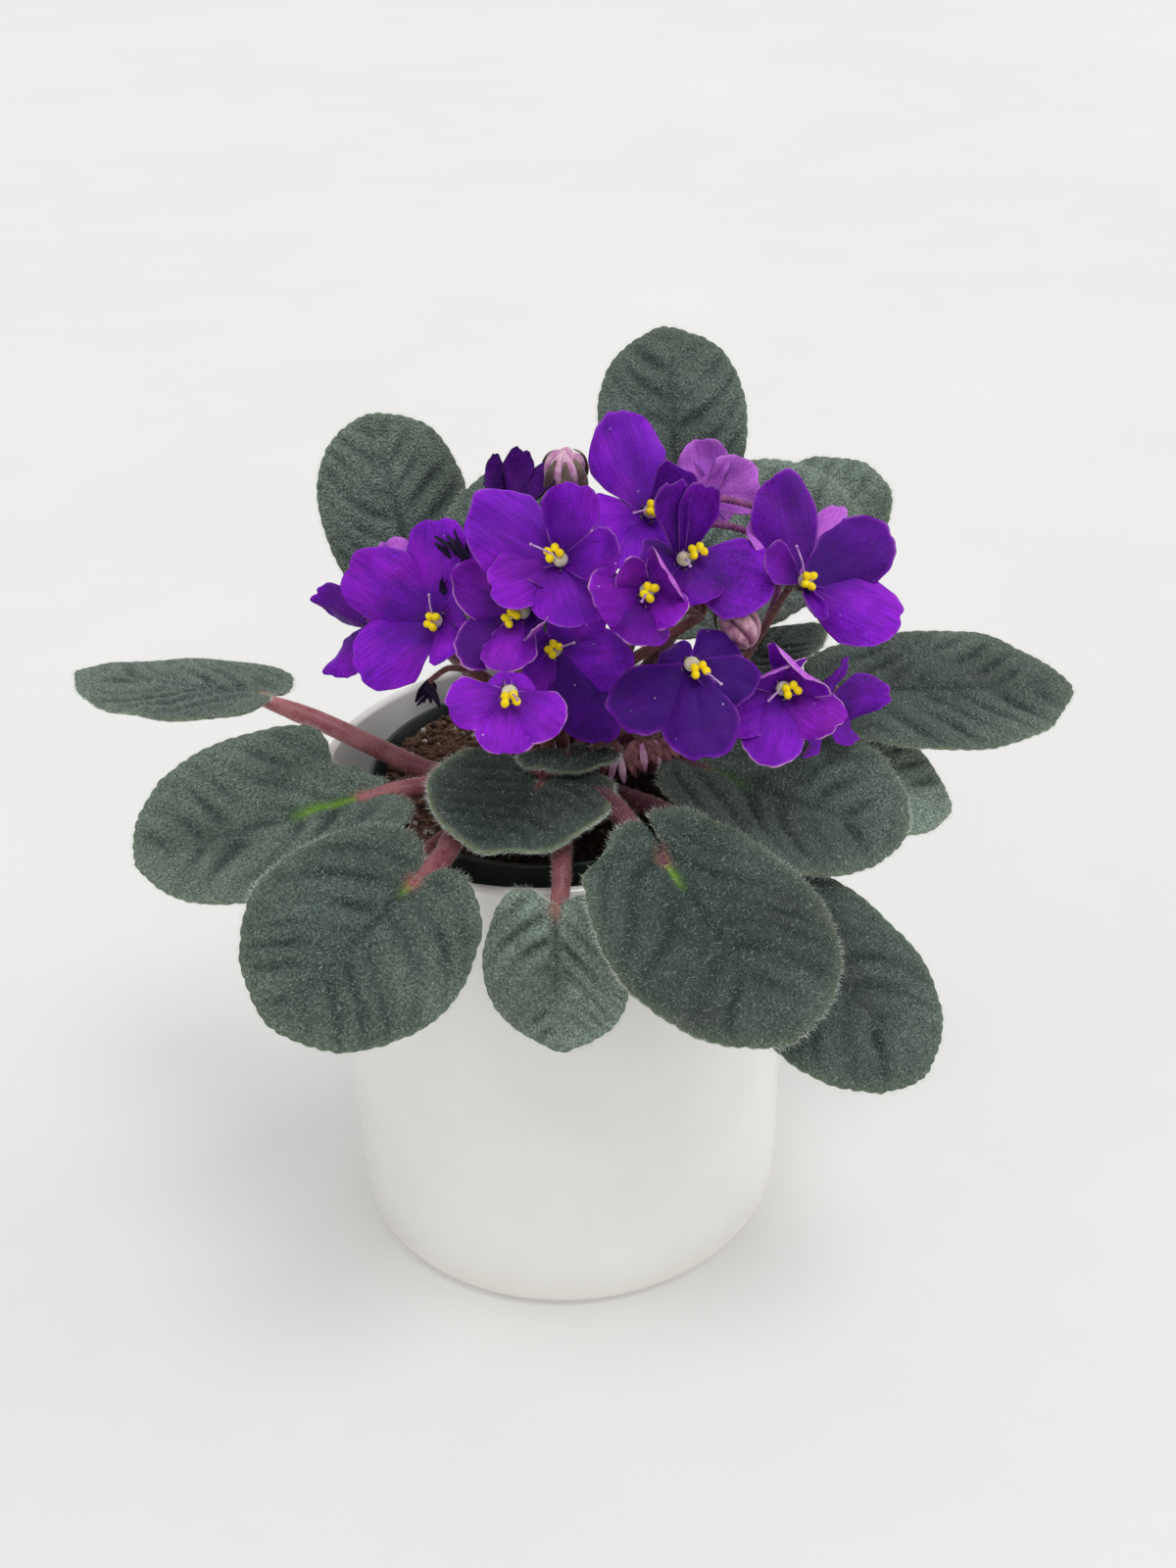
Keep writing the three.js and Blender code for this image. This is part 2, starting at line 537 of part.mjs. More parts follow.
function pedicel(fork, name) {
  const { centre, front, back } = seatOf(name);
  const seat = new THREE.Vector3(...centre).addScaledVector(front, -back);
  const foot = seat.clone().addScaledVector(front, -CALYX_LENGTH);
  const bend = seat.clone().addScaledVector(front, -1.8 * CALYX_LENGTH);
  const middle = fork.clone().lerp(bend, 0.6);
  const stalk = bar([fork, middle, bend, foot.clone().lerp(seat, 0.3)], PEDICEL_RADIUS, STEM_SIDES, 6);
  const calyx = new THREE.CylinderGeometry(CALYX_RADIUS, PEDICEL_RADIUS, CALYX_LENGTH, 5);
  calyx.applyQuaternion(new THREE.Quaternion().setFromUnitVectors(new THREE.Vector3(0, 1, 0), front));
  calyx.translate(...foot.lerp(seat, 0.5).toArray());
  return [stalk, calyx];
}

function spray({ root, fork, carries }) {
  const start = new THREE.Vector3(...root, CROWN_TOP + CLEARANCE);
  const knee = start.clone().setZ(CROWN_TOP + 12);
  const split = new THREE.Vector3(...fork);
  const peduncle = bar([start, knee, knee.clone().lerp(split, 0.6), split], PEDUNCLE_RADIUS, STEM_SIDES, 6);
  return join([peduncle, ...carries.flatMap((name) => pedicel(split, name))]);
}

// ---------------------------------------------------------------- the whole plant

place('cachepot', cachepot(), 'white_glaze');
place('nursery_pot', nurseryPot(), 'dark_plastic');
place('soil', soil(), 'soil');
place('crown', crown(), 'stalk');
for (const leaf of LEAVES) {
  place(leaf.name, blade(LEAF_SECTORS, LEAF_RINGS, leafSurface(leaf), LEAF_THICKNESS), 'leaf');
}
for (const stem of SPRAYS) place(stem.name, spray(stem), 'flower_stem');
for (const bloom of BLOOMS) {
  const sectors = PETAL_SECTORS * PETALS;
  const sheet = blade(sectors, PETAL_RINGS, corollaSurface(bloom), PETAL_THICKNESS);
  place(`corolla_${bloom.name}`, sheet, 'petal');
  if (bloom.anthers) place(`anthers_${bloom.name}`, anthers(bloom), 'anther');
}
for (const item of BUDS) place(item.name, bud(item), 'bud');

export default part;
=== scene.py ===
"""Potted African violet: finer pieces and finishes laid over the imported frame."""
import math
import random
from typing import NamedTuple

import bmesh
import bpy
from mathutils import Matrix, Vector, noise


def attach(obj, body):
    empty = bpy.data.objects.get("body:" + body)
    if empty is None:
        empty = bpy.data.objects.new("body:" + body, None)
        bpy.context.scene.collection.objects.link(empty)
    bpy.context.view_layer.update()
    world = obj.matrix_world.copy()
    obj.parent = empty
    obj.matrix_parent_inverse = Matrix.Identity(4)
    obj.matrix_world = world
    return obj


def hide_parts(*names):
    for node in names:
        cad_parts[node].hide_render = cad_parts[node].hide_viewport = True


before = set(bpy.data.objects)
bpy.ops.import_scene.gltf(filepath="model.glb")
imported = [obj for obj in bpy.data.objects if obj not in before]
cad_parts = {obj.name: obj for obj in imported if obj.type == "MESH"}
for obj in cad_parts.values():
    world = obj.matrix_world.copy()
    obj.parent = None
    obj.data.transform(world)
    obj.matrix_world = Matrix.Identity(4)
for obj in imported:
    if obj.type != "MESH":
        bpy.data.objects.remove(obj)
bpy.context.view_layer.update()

MM = 0.001
RNG = random.Random(7)
noise.seed_set(7)       # the clock would seed noise_vector otherwise

# ------------------------------------------------------------ measures, in millimetres

CROWN = Vector((0, -8, 0))
CROWN_FOOT = 126
STALK_ROOT = 139        # height at which the leaf stalks leave the crown
RIM_CROSSING = 61       # distance from the pot's axis at which the stalks pass its rim


class Leaf(NamedTuple):
    base: tuple         # where the stalk meets the blade
    turn: tuple         # heading, tilt and roll, in degrees
    size: tuple         # length and width
    curve: tuple        # how far the sides cup, and how far the tip droops
    stalk: tuple        # radius, length of the bend before the blade, and arch
    tone: float         # how pale the upper skin is
    hairs: int
    cells: int          # of the blade's grid, each way


class Bloom(NamedTuple):
    centre: tuple       # of the throat
    face: tuple         # azimuth and elevation of the way it looks, in degrees
    paleness: float     # of the petals' margins
    petals: tuple


class Petal(NamedTuple):
    azimuth: float      # the way it points, from the bloom's top, in degrees
    length: float
    lift: float         # how far it folds forward, in degrees
    width: float        # as a share of its length
    cup: float = -0.5   # how far its sides bend forward, or back where it is below nought
    curl: float = 0     # how far its outer part curls over, in degrees


LEAVES = {name: Leaf(*row) for name, row in {
    "far_left": ((-74, 9, 159), (164, -3, -9), (53, 47), (0.01, -0.08), (2.6, 12, -6), 0.42, 4200, 72),
    "left": ((-47, -24, 146), (198, -6, 20), (58, 53), (0.1, -0.02), (2.6, 13, 0), 0.46, 4800, 72),
    "left_under": ((-37, -55, 142), (229, -38, 0), (30, 27), (0.02, 0.05), (1.6, 6, 2), 0.12, 1200, 40),
    "front_left": ((-32, -70, 150), (234, -10, 30), (48.5, 49.5), (0, 0.06), (2.6, 13, 2), 0.29, 4800, 72),
    "front": ((-1, -74, 143), (262, -68, -15), (34, 36), (0.04, 0.06), (2.2, 4, 4), 0.96, 3200, 64),
    "front_right": ((24, -68, 152), (299, -22, 6), (53, 57), (0.03, 0.03), (2.6, 15, 2), 0.1, 5200, 72),
    "low_right": ((46, -64, 134), (319, -25, -1), (55, 54), (0, 0.08), (2.4, 12, 10), 0.17, 4800, 72),
    "right": ((38, -23, 149), (341, -20, -14), (52, 53), (0.07, -0.14), (2.6, 8, 1), 0.28, 4400, 72),
    "right_under": ((62, -10, 145), (348, -17, -11), (44, 41), (0.02, 0.04), (2, 8, 2), 1.0, 2000, 48),
    "far_right": ((79, 8, 153), (355, -1, -11), (57, 51), (0.01, 0), (2.6, 12, 3), 0.3, 4400, 72),
    "back_left": ((-36, 46, 173), (114, 64, 0), (46, 44), (0, 0.02), (2.4, 8, 0), 0.5, 3000, 64),
    "back": ((37, 46, 195), (88, 48, -2), (49, 41), (0.02, 0.04), (2.4, 8, 0), 0.35, 3000, 64),
    "back_right": ((32, 24, 180), (352, 21, -30), (52, 54), (0.04, 0.03), (2.4, 8, 0), 1.0, 3400, 64),
    "back_far_right": ((53, 36, 181), (350, 24, -25), (43, 49), (0.02, 0.02), (2.2, 8, 0), 0.8, 2600, 56),
    "inner_front": ((-3, -31, 151), (250, 6, 6), (38, 44), (0.14, 0), (2.2, 6, 0), 0.0, 1500, 56),
    "inner_dark": ((4, -17, 152), (270, 10, 0), (15, 26), (0.05, 0), (1.6, 3, 0), 0.0, 700, 32),
    "inner_right": ((34, 6, 156), (16, 15, 8), (42, 35), (0.02, 0.02), (2, 6, 0), 0.22, 1400, 48),
    "back_centre": ((-6, 26, 169), (95, 52, 3), (42, 39), (0.02, 0.03), (2.2, 8, 0), 0.4, 1400, 48),
    "inner_back": ((3, 12, 147), (70, 12, 0), (34, 30), (0.03, 0.02), (2, 5, 0), 0.15, 900, 40),
}.items()}

BLOOMS = {name: Bloom(*row) for name, row in {
    "01": ((26.9, -2.4, 209.1), (-75, 40), 0.2,
           ((8, 26, 5, 0.78), (100, 18, 12, 0.95), (150, 19, 10, 0.9), (222, 14, 20, 0.8),
            (306, 15, 45, 0.8, 0.9))),
    "02": ((4, -28.5, 208.7), (-88, 35), 0.25,
           ((57, 24.5, 5, 0.85), (112, 18, 2, 0.8), (192, 17, 10, 1.15),
            (262, 16.5, 36, 0.85, 0.9), (344, 19.5, 34, 0.8, 1.1))),
    "03": ((33.2, -22.7, 205), (-81, 45), 0.2,
           ((17, 21, 50, 0.62, 1.5), (84, 11, 16, 1.0), (196, 12.5, 3, 1.3),
            (246, 23.5, -3, 0.9, -0.3), (337, 20.5, 52, 0.62, 1.4))),
    "04": ((62.4, -21, 197.2), (-76, 31), 0.3,
           ((7, 27.5, 5, 0.64), (62, 17, 33, 0.62, 1.1), (172, 14.5, 42, 0.6, 1.9),
            (235, 25.8, 5, 0.7), (289, 24.5, 5, 0.74))),
    "05": ((23.4, -40, 205), (-87, 35), 1.0,
           ((44, 10, 35, 0.9), (100, 15.5, 28, 0.95), (163, 16, 25, 0.9), (218, 12.5, 32, 0.85),
            (296, 10.5, 34, 1.45, -0.15, 92))),
    "06": ((-5.3, -29.5, 196.4), (-105, 30), 0.9,
           ((66, 18.5, 10, 0.8), (132, 18.8, 10, 0.75), (168, 16.5, 20, 0.75),
            (232, 12, 34, 0.7, 0.5, 60), (335, 10, 20, 0.9, -0.4, 60))),
    "07": ((-27, -14.5, 188), (-112, 25), 0.1,
           ((3, 25.5, 8, 0.72), (65, 26.5, 8, 0.75), (131, 24.5, 8, 0.75), (215, 14, 35, 0.8),
            (290, 15, 40, 0.7))),
    "08": ((-47, 5, 178), (-150, 5), 0.0,
           ((10, 15, 15, 0.7), (75, 19, 20, 0.6), (158, 18, 20, 0.6), (230, 15, 10, 0.7),
            (300, 15, 10, 0.7))),
    "09": ((1.8, -14, 178.4), (-75, 33), 0.0,
           ((55, 14, 30, 0.7), (130, 18, 0, 0.8), (200, 27, 0, 0.62), (248, 20.5, 5, 0.8),
            (312, 17, 10, 0.95))),
    "10": ((-8.9, -53, 187.5), (-85, 45), 0.9,
           ((35, 9, -40, 0.9), (102, 15.4, 5, 0.85), (168, 16, 3, 0.85), (227, 15.2, 5, 0.9),
            (323, 9, -40, 0.9))),
    "11": ((33.3, -41, 186.5), (-95, 48), 0.2,
           ((45, 11, -35, 0.9), (125, 22.6, -5, 0.75), (188, 24, -3, 0.75),
            (250, 16.5, -5, 0.8), (310, 17, -35, 0.8))),
    "12": ((55, -40, 178.5), (-88, 48), 1.0,
           ((22, 8, 36, 1.9, -0.12, 104), (115, 17.6, 0, 0.85), (161, 20, 0, 0.75),
            (226, 16.8, 3, 0.85), (315, 10.5, 36, 1.7, -0.12, 108))),
    "13": ((71, -22, 162.5), (-35, 10), 0.1,
           ((351, 14.8, 20, 0.6), (50, 12, 10, 0.7), (103, 17, -5, 0.7), (216, 15, 0, 0.7),
            (264, 17.7, 20, 0.7))),
    "14": ((-7, 8, 210), (-60, 60), 0.1,
           ((34, 12, 44, 0.7, 1.0), (104, 13, 42, 0.75, 0.9), (180, 12.5, 50, 0.8, 0.8),
            (256, 13, 46, 0.75, 1.0), (326, 12, 50, 0.7, 0.9))),
    "15": ((42.2, 11, 206.2), (75, -5), 0.1,
           ((57, 14.5, 0, 1.1), (110, 12, 50, 0.9), (190, 12, 50, 0.8), (310, 11.5, 8, 0.9),
            (354, 16, 0, 0.82))),
}.items()}
# how brightly each bloom is lit, painted into its colour: painted shade on the dull ones and painted light
# on the bright ones
BLOOM_LIGHT = {"01": 0.95, "02": 0.9, "03": 0.46, "04": 0.52, "05": 0.36, "06": 0.42, "07": 0.8,
          "08": 0.55, "09": 0.6, "10": 0.95, "11": 0.0, "12": 1.0, "13": 0.45, "14": 0.5, "15": 1.0}
# petals seen from their pink reverse, which show past those in front of them
TURNED_PETALS = {"04": ((324, 21.5, -4, 0.45), (24, 21.5, -4, 0.5)), "07": ((44, 25.5, -6, 0.5),)}
# where a style's tip is, from the throat
STYLES = {"01": (-4.4, -4.8, 1.6), "02": (-6.6, -2.7, 5.1), "03": (0.9, -5.6, 0.4),
          "04": (-2.5, -0.4, 9), "05": (-1.7, -5.7, 0), "06": (-4.8, -3.2, 4.2),
          "07": (-0.8, -1.4, 7.5), "09": (4.8, -3.8, 3.5), "10": (1.8, -5.4, 0.8),
          "11": (6.1, -7.1, -2), "12": (-4.2, -5.8, -0.1)}
# how far the anthers lie to the right of and above the ovary, and how they are turned
ANTHERS = {"01": (0.3, 0.2, 70), "02": (-1.5, 1.3, 25), "03": (3.2, 0.9, 15),
           "04": (0.2, -0.2, 70), "05": (0.2, -0.5, 60), "06": (-2.2, -1.6, 50),
           "07": (0, 0, 80), "09": (-0.6, 0.2, 40), "10": (0, -2.2, 5),
           "11": (2.0, -2.2, 20), "12": (1.6, -1.2, 20)}
# centre, azimuth and elevation of the tip, radius, length
BUDS = {"bud_upper": ((6.5, 9.5, 215), (-90, 70), 4.6, 7),
        "bud_hanging": ((46, -25, 189), (-60, -50), 4.2, 6.5)}
# where each stem leaves the crown, where it forks, and what it carries
SPRAYS = {
    "flower_stem_left": ((-4.2, -8.5), (-20, -8, 172), ("07", "08", "14", "09")),
    "flower_stem_front": ((-1.5, -12.4), (-13, -36, 165), ("10", "06")),
    "flower_stem_top": ((-0.8, -5.5), (10, 4, 190), ("01", "02", "15", "bud_upper")),
    "flower_stem_middle": ((3.2, -5.6), (39, -7, 183), ("03", "05", "bud_hanging")),
    "flower_stem_right": ((3.2, -9.7), (44, -16, 166), ("04", "13", "12", "11")),
}

# ------------------------------------------------------------ node trees


class Tree:
    """Short ways to add and join the nodes of a material or a group."""

    def __init__(self, tree):
        self.tree = tree

    def add(self, kind, links=None, **settings):
        node = self.tree.nodes.new(kind)
        for key, value in settings.items():
            setattr(node, key, value)
        for key, value in (links or {}).items():
            self.feed(node.inputs[key], value)
        return node

    def feed(self, socket, value):
        if isinstance(value, bpy.types.NodeSocket):
            self.tree.links.new(value, socket)
        else:
            socket.default_value = value

    def mix(self, factor, first, second, blend="MIX"):
        node = self.add("ShaderNodeMix", data_type="RGBA", blend_type=blend)
        for place, value in zip((0, 6, 7), (factor, first, second)):
            self.feed(node.inputs[place], value)
        return node.outputs[2]

    def maths(self, operation, first, second=0.5, clamp=False):
        node = self.add("ShaderNodeMath", {0: first, 1: second},
                        operation=operation, use_clamp=clamp)
        return node.outputs[0]

    def span(self, value, low, high, to_low=0.0, to_high=1.0):
        node = self.add("ShaderNodeMapRange",
                        {0: value, 1: low, 2: high, 3: to_low, 4: to_high})
        return node.outputs[0]

    def noise(self, scale, detail=3.0, vector=None, rough=0.55):
        node = self.add("ShaderNodeTexNoise",
                        {"Scale": scale, "Detail": detail, "Roughness": rough})
        if vector is not None:
            self.feed(node.inputs["Vector"], vector)
        return node.outputs["Fac"]

    def patches(self, scale, detail, low, high, to_low=0.0, to_high=1.0):
        """Soft patches, from none at the low value of the noise to full at the high one."""
        return self.span(self.noise(scale, detail, self.place()), low, high, to_low, to_high)

    def cells(self, scale):
        """The distance from the middles of small cells strewn at random."""
        node = self.add("ShaderNodeTexVoronoi", {"Vector": self.place(), "Scale": scale})
        return node.outputs["Distance"]

    def place(self):
        return self.add("ShaderNodeTexCoord").outputs["Object"]

    def attribute(self, name):
        return self.add("ShaderNodeAttribute", attribute_name=name)

    def value(self, name):
        return self.attribute(name).outputs["Fac"]

    def channels(self, source):
        return self.add("ShaderNodeSeparateColor", {0: source.outputs["Color"]}).outputs

    def group(self, made, **values):
        node = self.add("ShaderNodeGroup", node_tree=made)
        for key, value in values.items():
            self.feed(node.inputs[key.replace("_", " ")], value)
        return node


def shared_group(name, inputs, outputs):
    made = bpy.data.node_groups.new(name, "ShaderNodeTree")
    for title, kind, value in inputs:
        socket = made.interface.new_socket(title, in_out="INPUT", socket_type=kind)
        socket.default_value = value
    for title, kind in outputs:
        made.interface.new_socket(title, in_out="OUTPUT", socket_type=kind)
    tree = Tree(made)
    return made, tree, tree.add("NodeGroupInput").outputs, tree.add("NodeGroupOutput").inputs


def rgb(red, green, blue):
    return (red, green, blue, 1.0)


def mottled_tint():
    """Two colours that drift into each other in soft patches and finer specks."""
    made, tree, given, wanted = shared_group(
        "mottled_tint",
        [("Dark", "NodeSocketColor", rgb(0, 0, 0)), ("Light", "NodeSocketColor", rgb(1, 1, 1)),
         ("Patch", "NodeSocketFloat", 100.0), ("Speck", "NodeSocketFloat", 900.0),
         ("Grain", "NodeSocketFloat", 0.35)],
        [("Tint", "NodeSocketColor"), ("Mask", "NodeSocketFloat")])
    where = tree.place()
    patches = tree.noise(given["Patch"], 3.0, where)
    specks = tree.noise(given["Speck"], 4.0, where, 0.7)
    both = tree.add("ShaderNodeMix", {0: given["Grain"], 2: patches, 3: specks}).outputs[0]
    mask = tree.span(both, 0.40, 0.60)
    tree.feed(wanted["Tint"], tree.mix(mask, given["Dark"], given["Light"]))
    tree.feed(wanted["Mask"], mask)
    return made


def cell_relief():
    """The fine pebbled relief of plant skin, with a softer swelling under it."""
    made, tree, given, wanted = shared_group(
        "cell_relief",
        [("Cells", "NodeSocketFloat", 2500.0), ("Swell", "NodeSocketFloat", 300.0)],
        [("Height", "NodeSocketFloat")])
    where = tree.place()
    cells = tree.add("ShaderNodeTexVoronoi", {"Vector": where, "Scale": given["Cells"]})
    swell = tree.noise(given["Swell"], 4.0, where)
    height = tree.maths("ADD", tree.maths("MULTIPLY", cells.outputs["Distance"], -0.5), swell)
    tree.feed(wanted["Height"], height)
    return made


MOTTLED = mottled_tint()
RELIEF = cell_relief()


class Finish(Tree):
    """A material under way: its Principled shader and the plain values on it."""

    def __init__(self, name, **plain):
        self.material = bpy.data.materials.new(name)
        self.material.use_nodes = True
        super().__init__(self.material.node_tree)
        self.shader = self.tree.nodes["Principled BSDF"]
        for key, value in plain.items():
            self.shader.inputs[key.replace("_", " ")].default_value = value

    def colour(self, value):
        self.feed(self.shader.inputs["Base Color"], value)

    def rough(self, value):
        self.feed(self.shader.inputs["Roughness"], value)

    def rough_between(self, mask, low, high):
        self.rough(self.span(mask, 0, 1, low, high))

    def bump(self, height, strength, distance):
        node = self.add("ShaderNodeBump",
                        {"Height": height, "Strength": strength, "Distance": distance})
        self.feed(self.shader.inputs["Normal"], node.outputs["Normal"])

    def mottled(self, dark, light, patch=100.0, speck=900.0, grain=0.35):
        node = self.group(MOTTLED, Dark=dark, Light=light, Patch=patch, Speck=speck, Grain=grain)
        return node.outputs

    def skin(self, cells, swell, strength, distance):
        height = self.group(RELIEF, Cells=cells, Swell=swell).outputs["Height"]
        self.bump(height, strength, distance)


# ------------------------------------------------------------ finishes


def leaf_upper():
    """Green skin from deep to pale, with painted shade in its sunk veins and between its pebbles, a paler
    margin and a fresh streak.
    """
    finish = Finish("leaf_upper", Sheen_Weight=0.08, Sheen_Roughness=0.4,
                    Sheen_Tint=rgb(0.8, 0.95, 0.9), Specular_IOR_Level=0.22)
    tissue = finish.attribute("tissue")
    veins, streak, margin = finish.channels(tissue)
    deep = finish.mottled(rgb(0.014, 0.028, 0.024), rgb(0.084, 0.120, 0.107), 60, 1900, 0.84)
    pale = finish.mottled(rgb(0.170, 0.240, 0.195), rgb(0.480, 0.600, 0.510), 60, 1900, 0.84)
    tint = finish.mix(tissue.outputs["Alpha"], deep["Tint"], pale["Tint"])
    dusk = finish.patches(34, 3.0, 0.44, 0.66, 0.0, 0.5)
    tint = finish.mix(dusk, tint, rgb(0.060, 0.064, 0.054))
    # painted shade in the sunk veins and midrib
    tint = finish.mix(finish.maths("MULTIPLY", veins, 0.8), tint, rgb(0.012, 0.026, 0.022))
    # painted shade in the crevices between the pebbles of the skin
    pebble_shade = finish.span(finish.cells(1650.0), 0.3, 0.7, 0.0, 0.46)
    tint = finish.mix(pebble_shade, tint, rgb(0.012, 0.022, 0.019))
    tint = finish.mix(margin, tint, rgb(0.22, 0.27, 0.15))
    tint = finish.mix(streak, tint, rgb(0.17, 0.34, 0.035))
    finish.colour(finish.mix(finish.value("joint"), tint, rgb(0.40, 0.13, 0.11)))
    finish.rough_between(pale["Mask"], 0.5, 0.68)
    finish.skin(1500, 380, 1.0, 0.0012)
    return finish.material


def leaf_under():
    finish = Finish("leaf_under", Sheen_Weight=0.25, Sheen_Roughness=0.5, Specular_IOR_Level=0.35)
    tint = finish.mottled(rgb(0.085, 0.085, 0.070), rgb(0.15, 0.17, 0.12), 90, 1200)
    veins = finish.channels(finish.attribute("tissue"))[0]
    finish.colour(finish.mix(veins, tint["Tint"], rgb(0.26, 0.13, 0.12)))
    finish.rough_between(tint["Mask"], 0.55, 0.7)
    finish.skin(2000, 400, 0.5, 0.00025)
    return finish.material


def fleshy_stalk():
    """Stalk skin that runs from wine red in the rosette to rose by the blade: partly the stalks' own
    colour, partly painted shade in the rosette and painted light further out.
    """
    finish = Finish("fleshy_stalk", Sheen_Weight=0.1, Sheen_Roughness=0.4,
                    Sheen_Tint=rgb(1, 0.8, 0.8), Specular_IOR_Level=0.35)
    wine = finish.mottled(rgb(0.050, 0.012, 0.022), rgb(0.12, 0.030, 0.046), 140, 1300)
    rose = finish.mottled(rgb(0.32, 0.085, 0.105), rgb(0.52, 0.21, 0.22), 140, 1300)
    finish.colour(finish.mix(finish.value("reach"), wine["Tint"], rose["Tint"]))
    finish.rough_between(rose["Mask"], 0.36, 0.55)
    finish.skin(1500, 260, 0.45, 0.0003)
    return finish.material


def petal(name, deep, bright, magenta, edge, rim, sheen):
    """Velvet of the petals: streaks from the throat, drifting tints and paler margins, painted light and
    shade by how each bloom is lit, and painted shade towards the throat and in soft patches.
    """
    finish = Finish(name, Sheen_Weight=sheen, Sheen_Roughness=0.3, Sheen_Tint=rgb(0.7, 0.2, 1.0),
                    Specular_IOR_Level=0.12)
    place = finish.attribute("petal")
    across, along, outward = finish.channels(place)
    streak_place = finish.add("ShaderNodeCombineXYZ", {
        0: finish.maths("MULTIPLY", across, 34.0), 1: finish.maths("MULTIPLY", along, 3.0),
        2: finish.maths("MULTIPLY", place.outputs["Alpha"], 37.0)}).outputs[0]
    streaks = finish.noise(1.0, 4.0, streak_place)
    drift = finish.mottled(deep, bright, 110, 1900, 0.58)
    painted_light_and_tone, rosy = finish.value("painted_light_and_tone"), finish.value("paleness")
    # magenta patches, stronger on the more brightly lit blooms
    blush = finish.maths("MULTIPLY", finish.patches(75, 2.0, 0.46, 0.64), painted_light_and_tone)
    tint = finish.mix(finish.maths("MULTIPLY", blush, 0.75, True), drift["Tint"], magenta)
    tint = finish.mix(finish.maths("MULTIPLY", rosy, 0.5), tint, magenta)
    # painted shade on the dimly lit blooms and painted light on the brightly lit ones
    tint = finish.mix(finish.span(painted_light_and_tone, 0.0, 0.5, 0.88, 0.0), tint, deep)
    tint = finish.mix(finish.span(painted_light_and_tone, 0.5, 1.0, 0.0, 0.6), tint, bright)
    tint = finish.mix(finish.span(streaks, 0.42, 0.68, 0.0, 0.45), tint, deep)
    # painted shade towards the throat, where the petals overlap
    tint = finish.mix(finish.span(along, 0.0, 0.6, 0.85, 0.0), tint, deep)
    # painted shade in soft patches
    tint = finish.mix(finish.patches(48, 2.0, 0.5, 0.72, 0.0, 0.55), tint, deep)
    tint = finish.mix(finish.span(outward, 0.88, 1.0, 0.0, 0.35), tint, edge)
    pale_patches = finish.maths("MULTIPLY", finish.patches(160, 2.0, 0.42, 0.56), rosy)
    margin = finish.maths("MULTIPLY", finish.span(outward, 0.95, 0.99), pale_patches)
    tint = finish.mix(margin, tint, rim)
    dots = finish.span(finish.cells(300.0), 0.05, 0.09, 1.0, 0.0)
    strewn = finish.maths("MULTIPLY", dots, finish.patches(120, 2.0, 0.55, 0.6))
    finish.colour(finish.mix(finish.maths("MULTIPLY", strewn, 0.6), tint, rgb(0.7, 0.6, 0.8)))
    finish.rough_between(drift["Mask"], 0.38, 0.55)
    finish.skin(2600, 350, 0.7, 0.0004)
    return finish.material


def plant_skin(name, dark, light, scales=(420, 2200), rough=(0.42, 0.6),
               relief=(3200, 700, 0.4, 0.00015), crease_shade=None, **plain):
    """A skin of two drifting tints, with painted shade in its folds where a colour for that is given."""
    finish = Finish(name, **plain)
    tint = finish.mottled(dark, light, *scales)
    colour = tint["Tint"]
    if crease_shade:
        colour = finish.mix(finish.value("fold"), colour, crease_shade)
    finish.colour(colour)
    finish.rough_between(tint["Mask"], *rough)
    if relief:
        finish.skin(*relief)
    return finish.material


def soft_skin(name, dark, light, rough=(0.37, 0.55), sheen=0.1, crease_shade=None):
    return plant_skin(name, dark, light, rough=rough, crease_shade=crease_shade,
                      Sheen_Weight=sheen, Specular_IOR_Level=0.4)


def hair(name, dark, light):
    return plant_skin(name, dark, light, (160, 700), (0.4, 0.6), None, Specular_IOR_Level=0.4)


def potting_soil(name, dark, light):
    """Brown crumbs at the back left, with painted shade that darkens them towards the front right."""
    finish = Finish(name, Specular_IOR_Level=0.2)
    tint = finish.mottled(dark, light, 500, 2600)
    place = finish.place()
    parts = finish.add("ShaderNodeSeparateXYZ", {0: place}).outputs
    drift = finish.maths("SUBTRACT", finish.maths("MULTIPLY", parts[1], 0.7), parts[0])
    waver = finish.maths("MULTIPLY", finish.noise(60, 3.0, place), 0.02)
    # painted shade over the front right of the mix
    painted_shade = finish.span(finish.maths("ADD", drift, waver), -0.005, 0.035, 0.75, 0.0)
    finish.colour(finish.mix(painted_shade, tint["Tint"], rgb(0.012, 0.010, 0.011)))
    finish.rough_between(tint["Mask"], 0.82, 0.98)
    finish.skin(1100, 700, 0.9, 0.0006)
    return finish.material


def white_glaze():
    """Glaze with a creamier band low on the pot, and bare clay on its foot ring."""
    finish = Finish("white_glaze", Coat_Roughness=0.06, Specular_IOR_Level=0.5)
    where = finish.place()
    height = finish.add("ShaderNodeSeparateXYZ", {0: where}).outputs[2]
    tint = finish.mottled(rgb(0.88, 0.87, 0.845), rgb(0.91, 0.905, 0.89), 16, 60)
    waver = finish.maths("MULTIPLY", finish.noise(90, 2.0, where), 0.004)
    low = finish.maths("ADD", height, waver)
    band = finish.span(low, 0.007, 0.018, 0.28, 0.0)
    tinted = finish.mix(band, tint["Tint"], rgb(0.72, 0.66, 0.52))
    bare = finish.span(low, 0.0016, 0.0026, 1.0, 0.0)
    finish.colour(finish.mix(bare, tinted, rgb(0.42, 0.31, 0.2)))
    gloss = finish.span(tint["Mask"], 0, 1, 0.13, 0.2)
    finish.rough(finish.mix(bare, gloss, rgb(0.8, 0.8, 0.8)))
    coat = finish.span(low, 0.0016, 0.003, 0.0, 0.6)
    finish.feed(finish.shader.inputs["Coat Weight"], coat)
    finish.bump(finish.noise(38, 2.0, where), 0.1, 0.0006)
    return finish.material


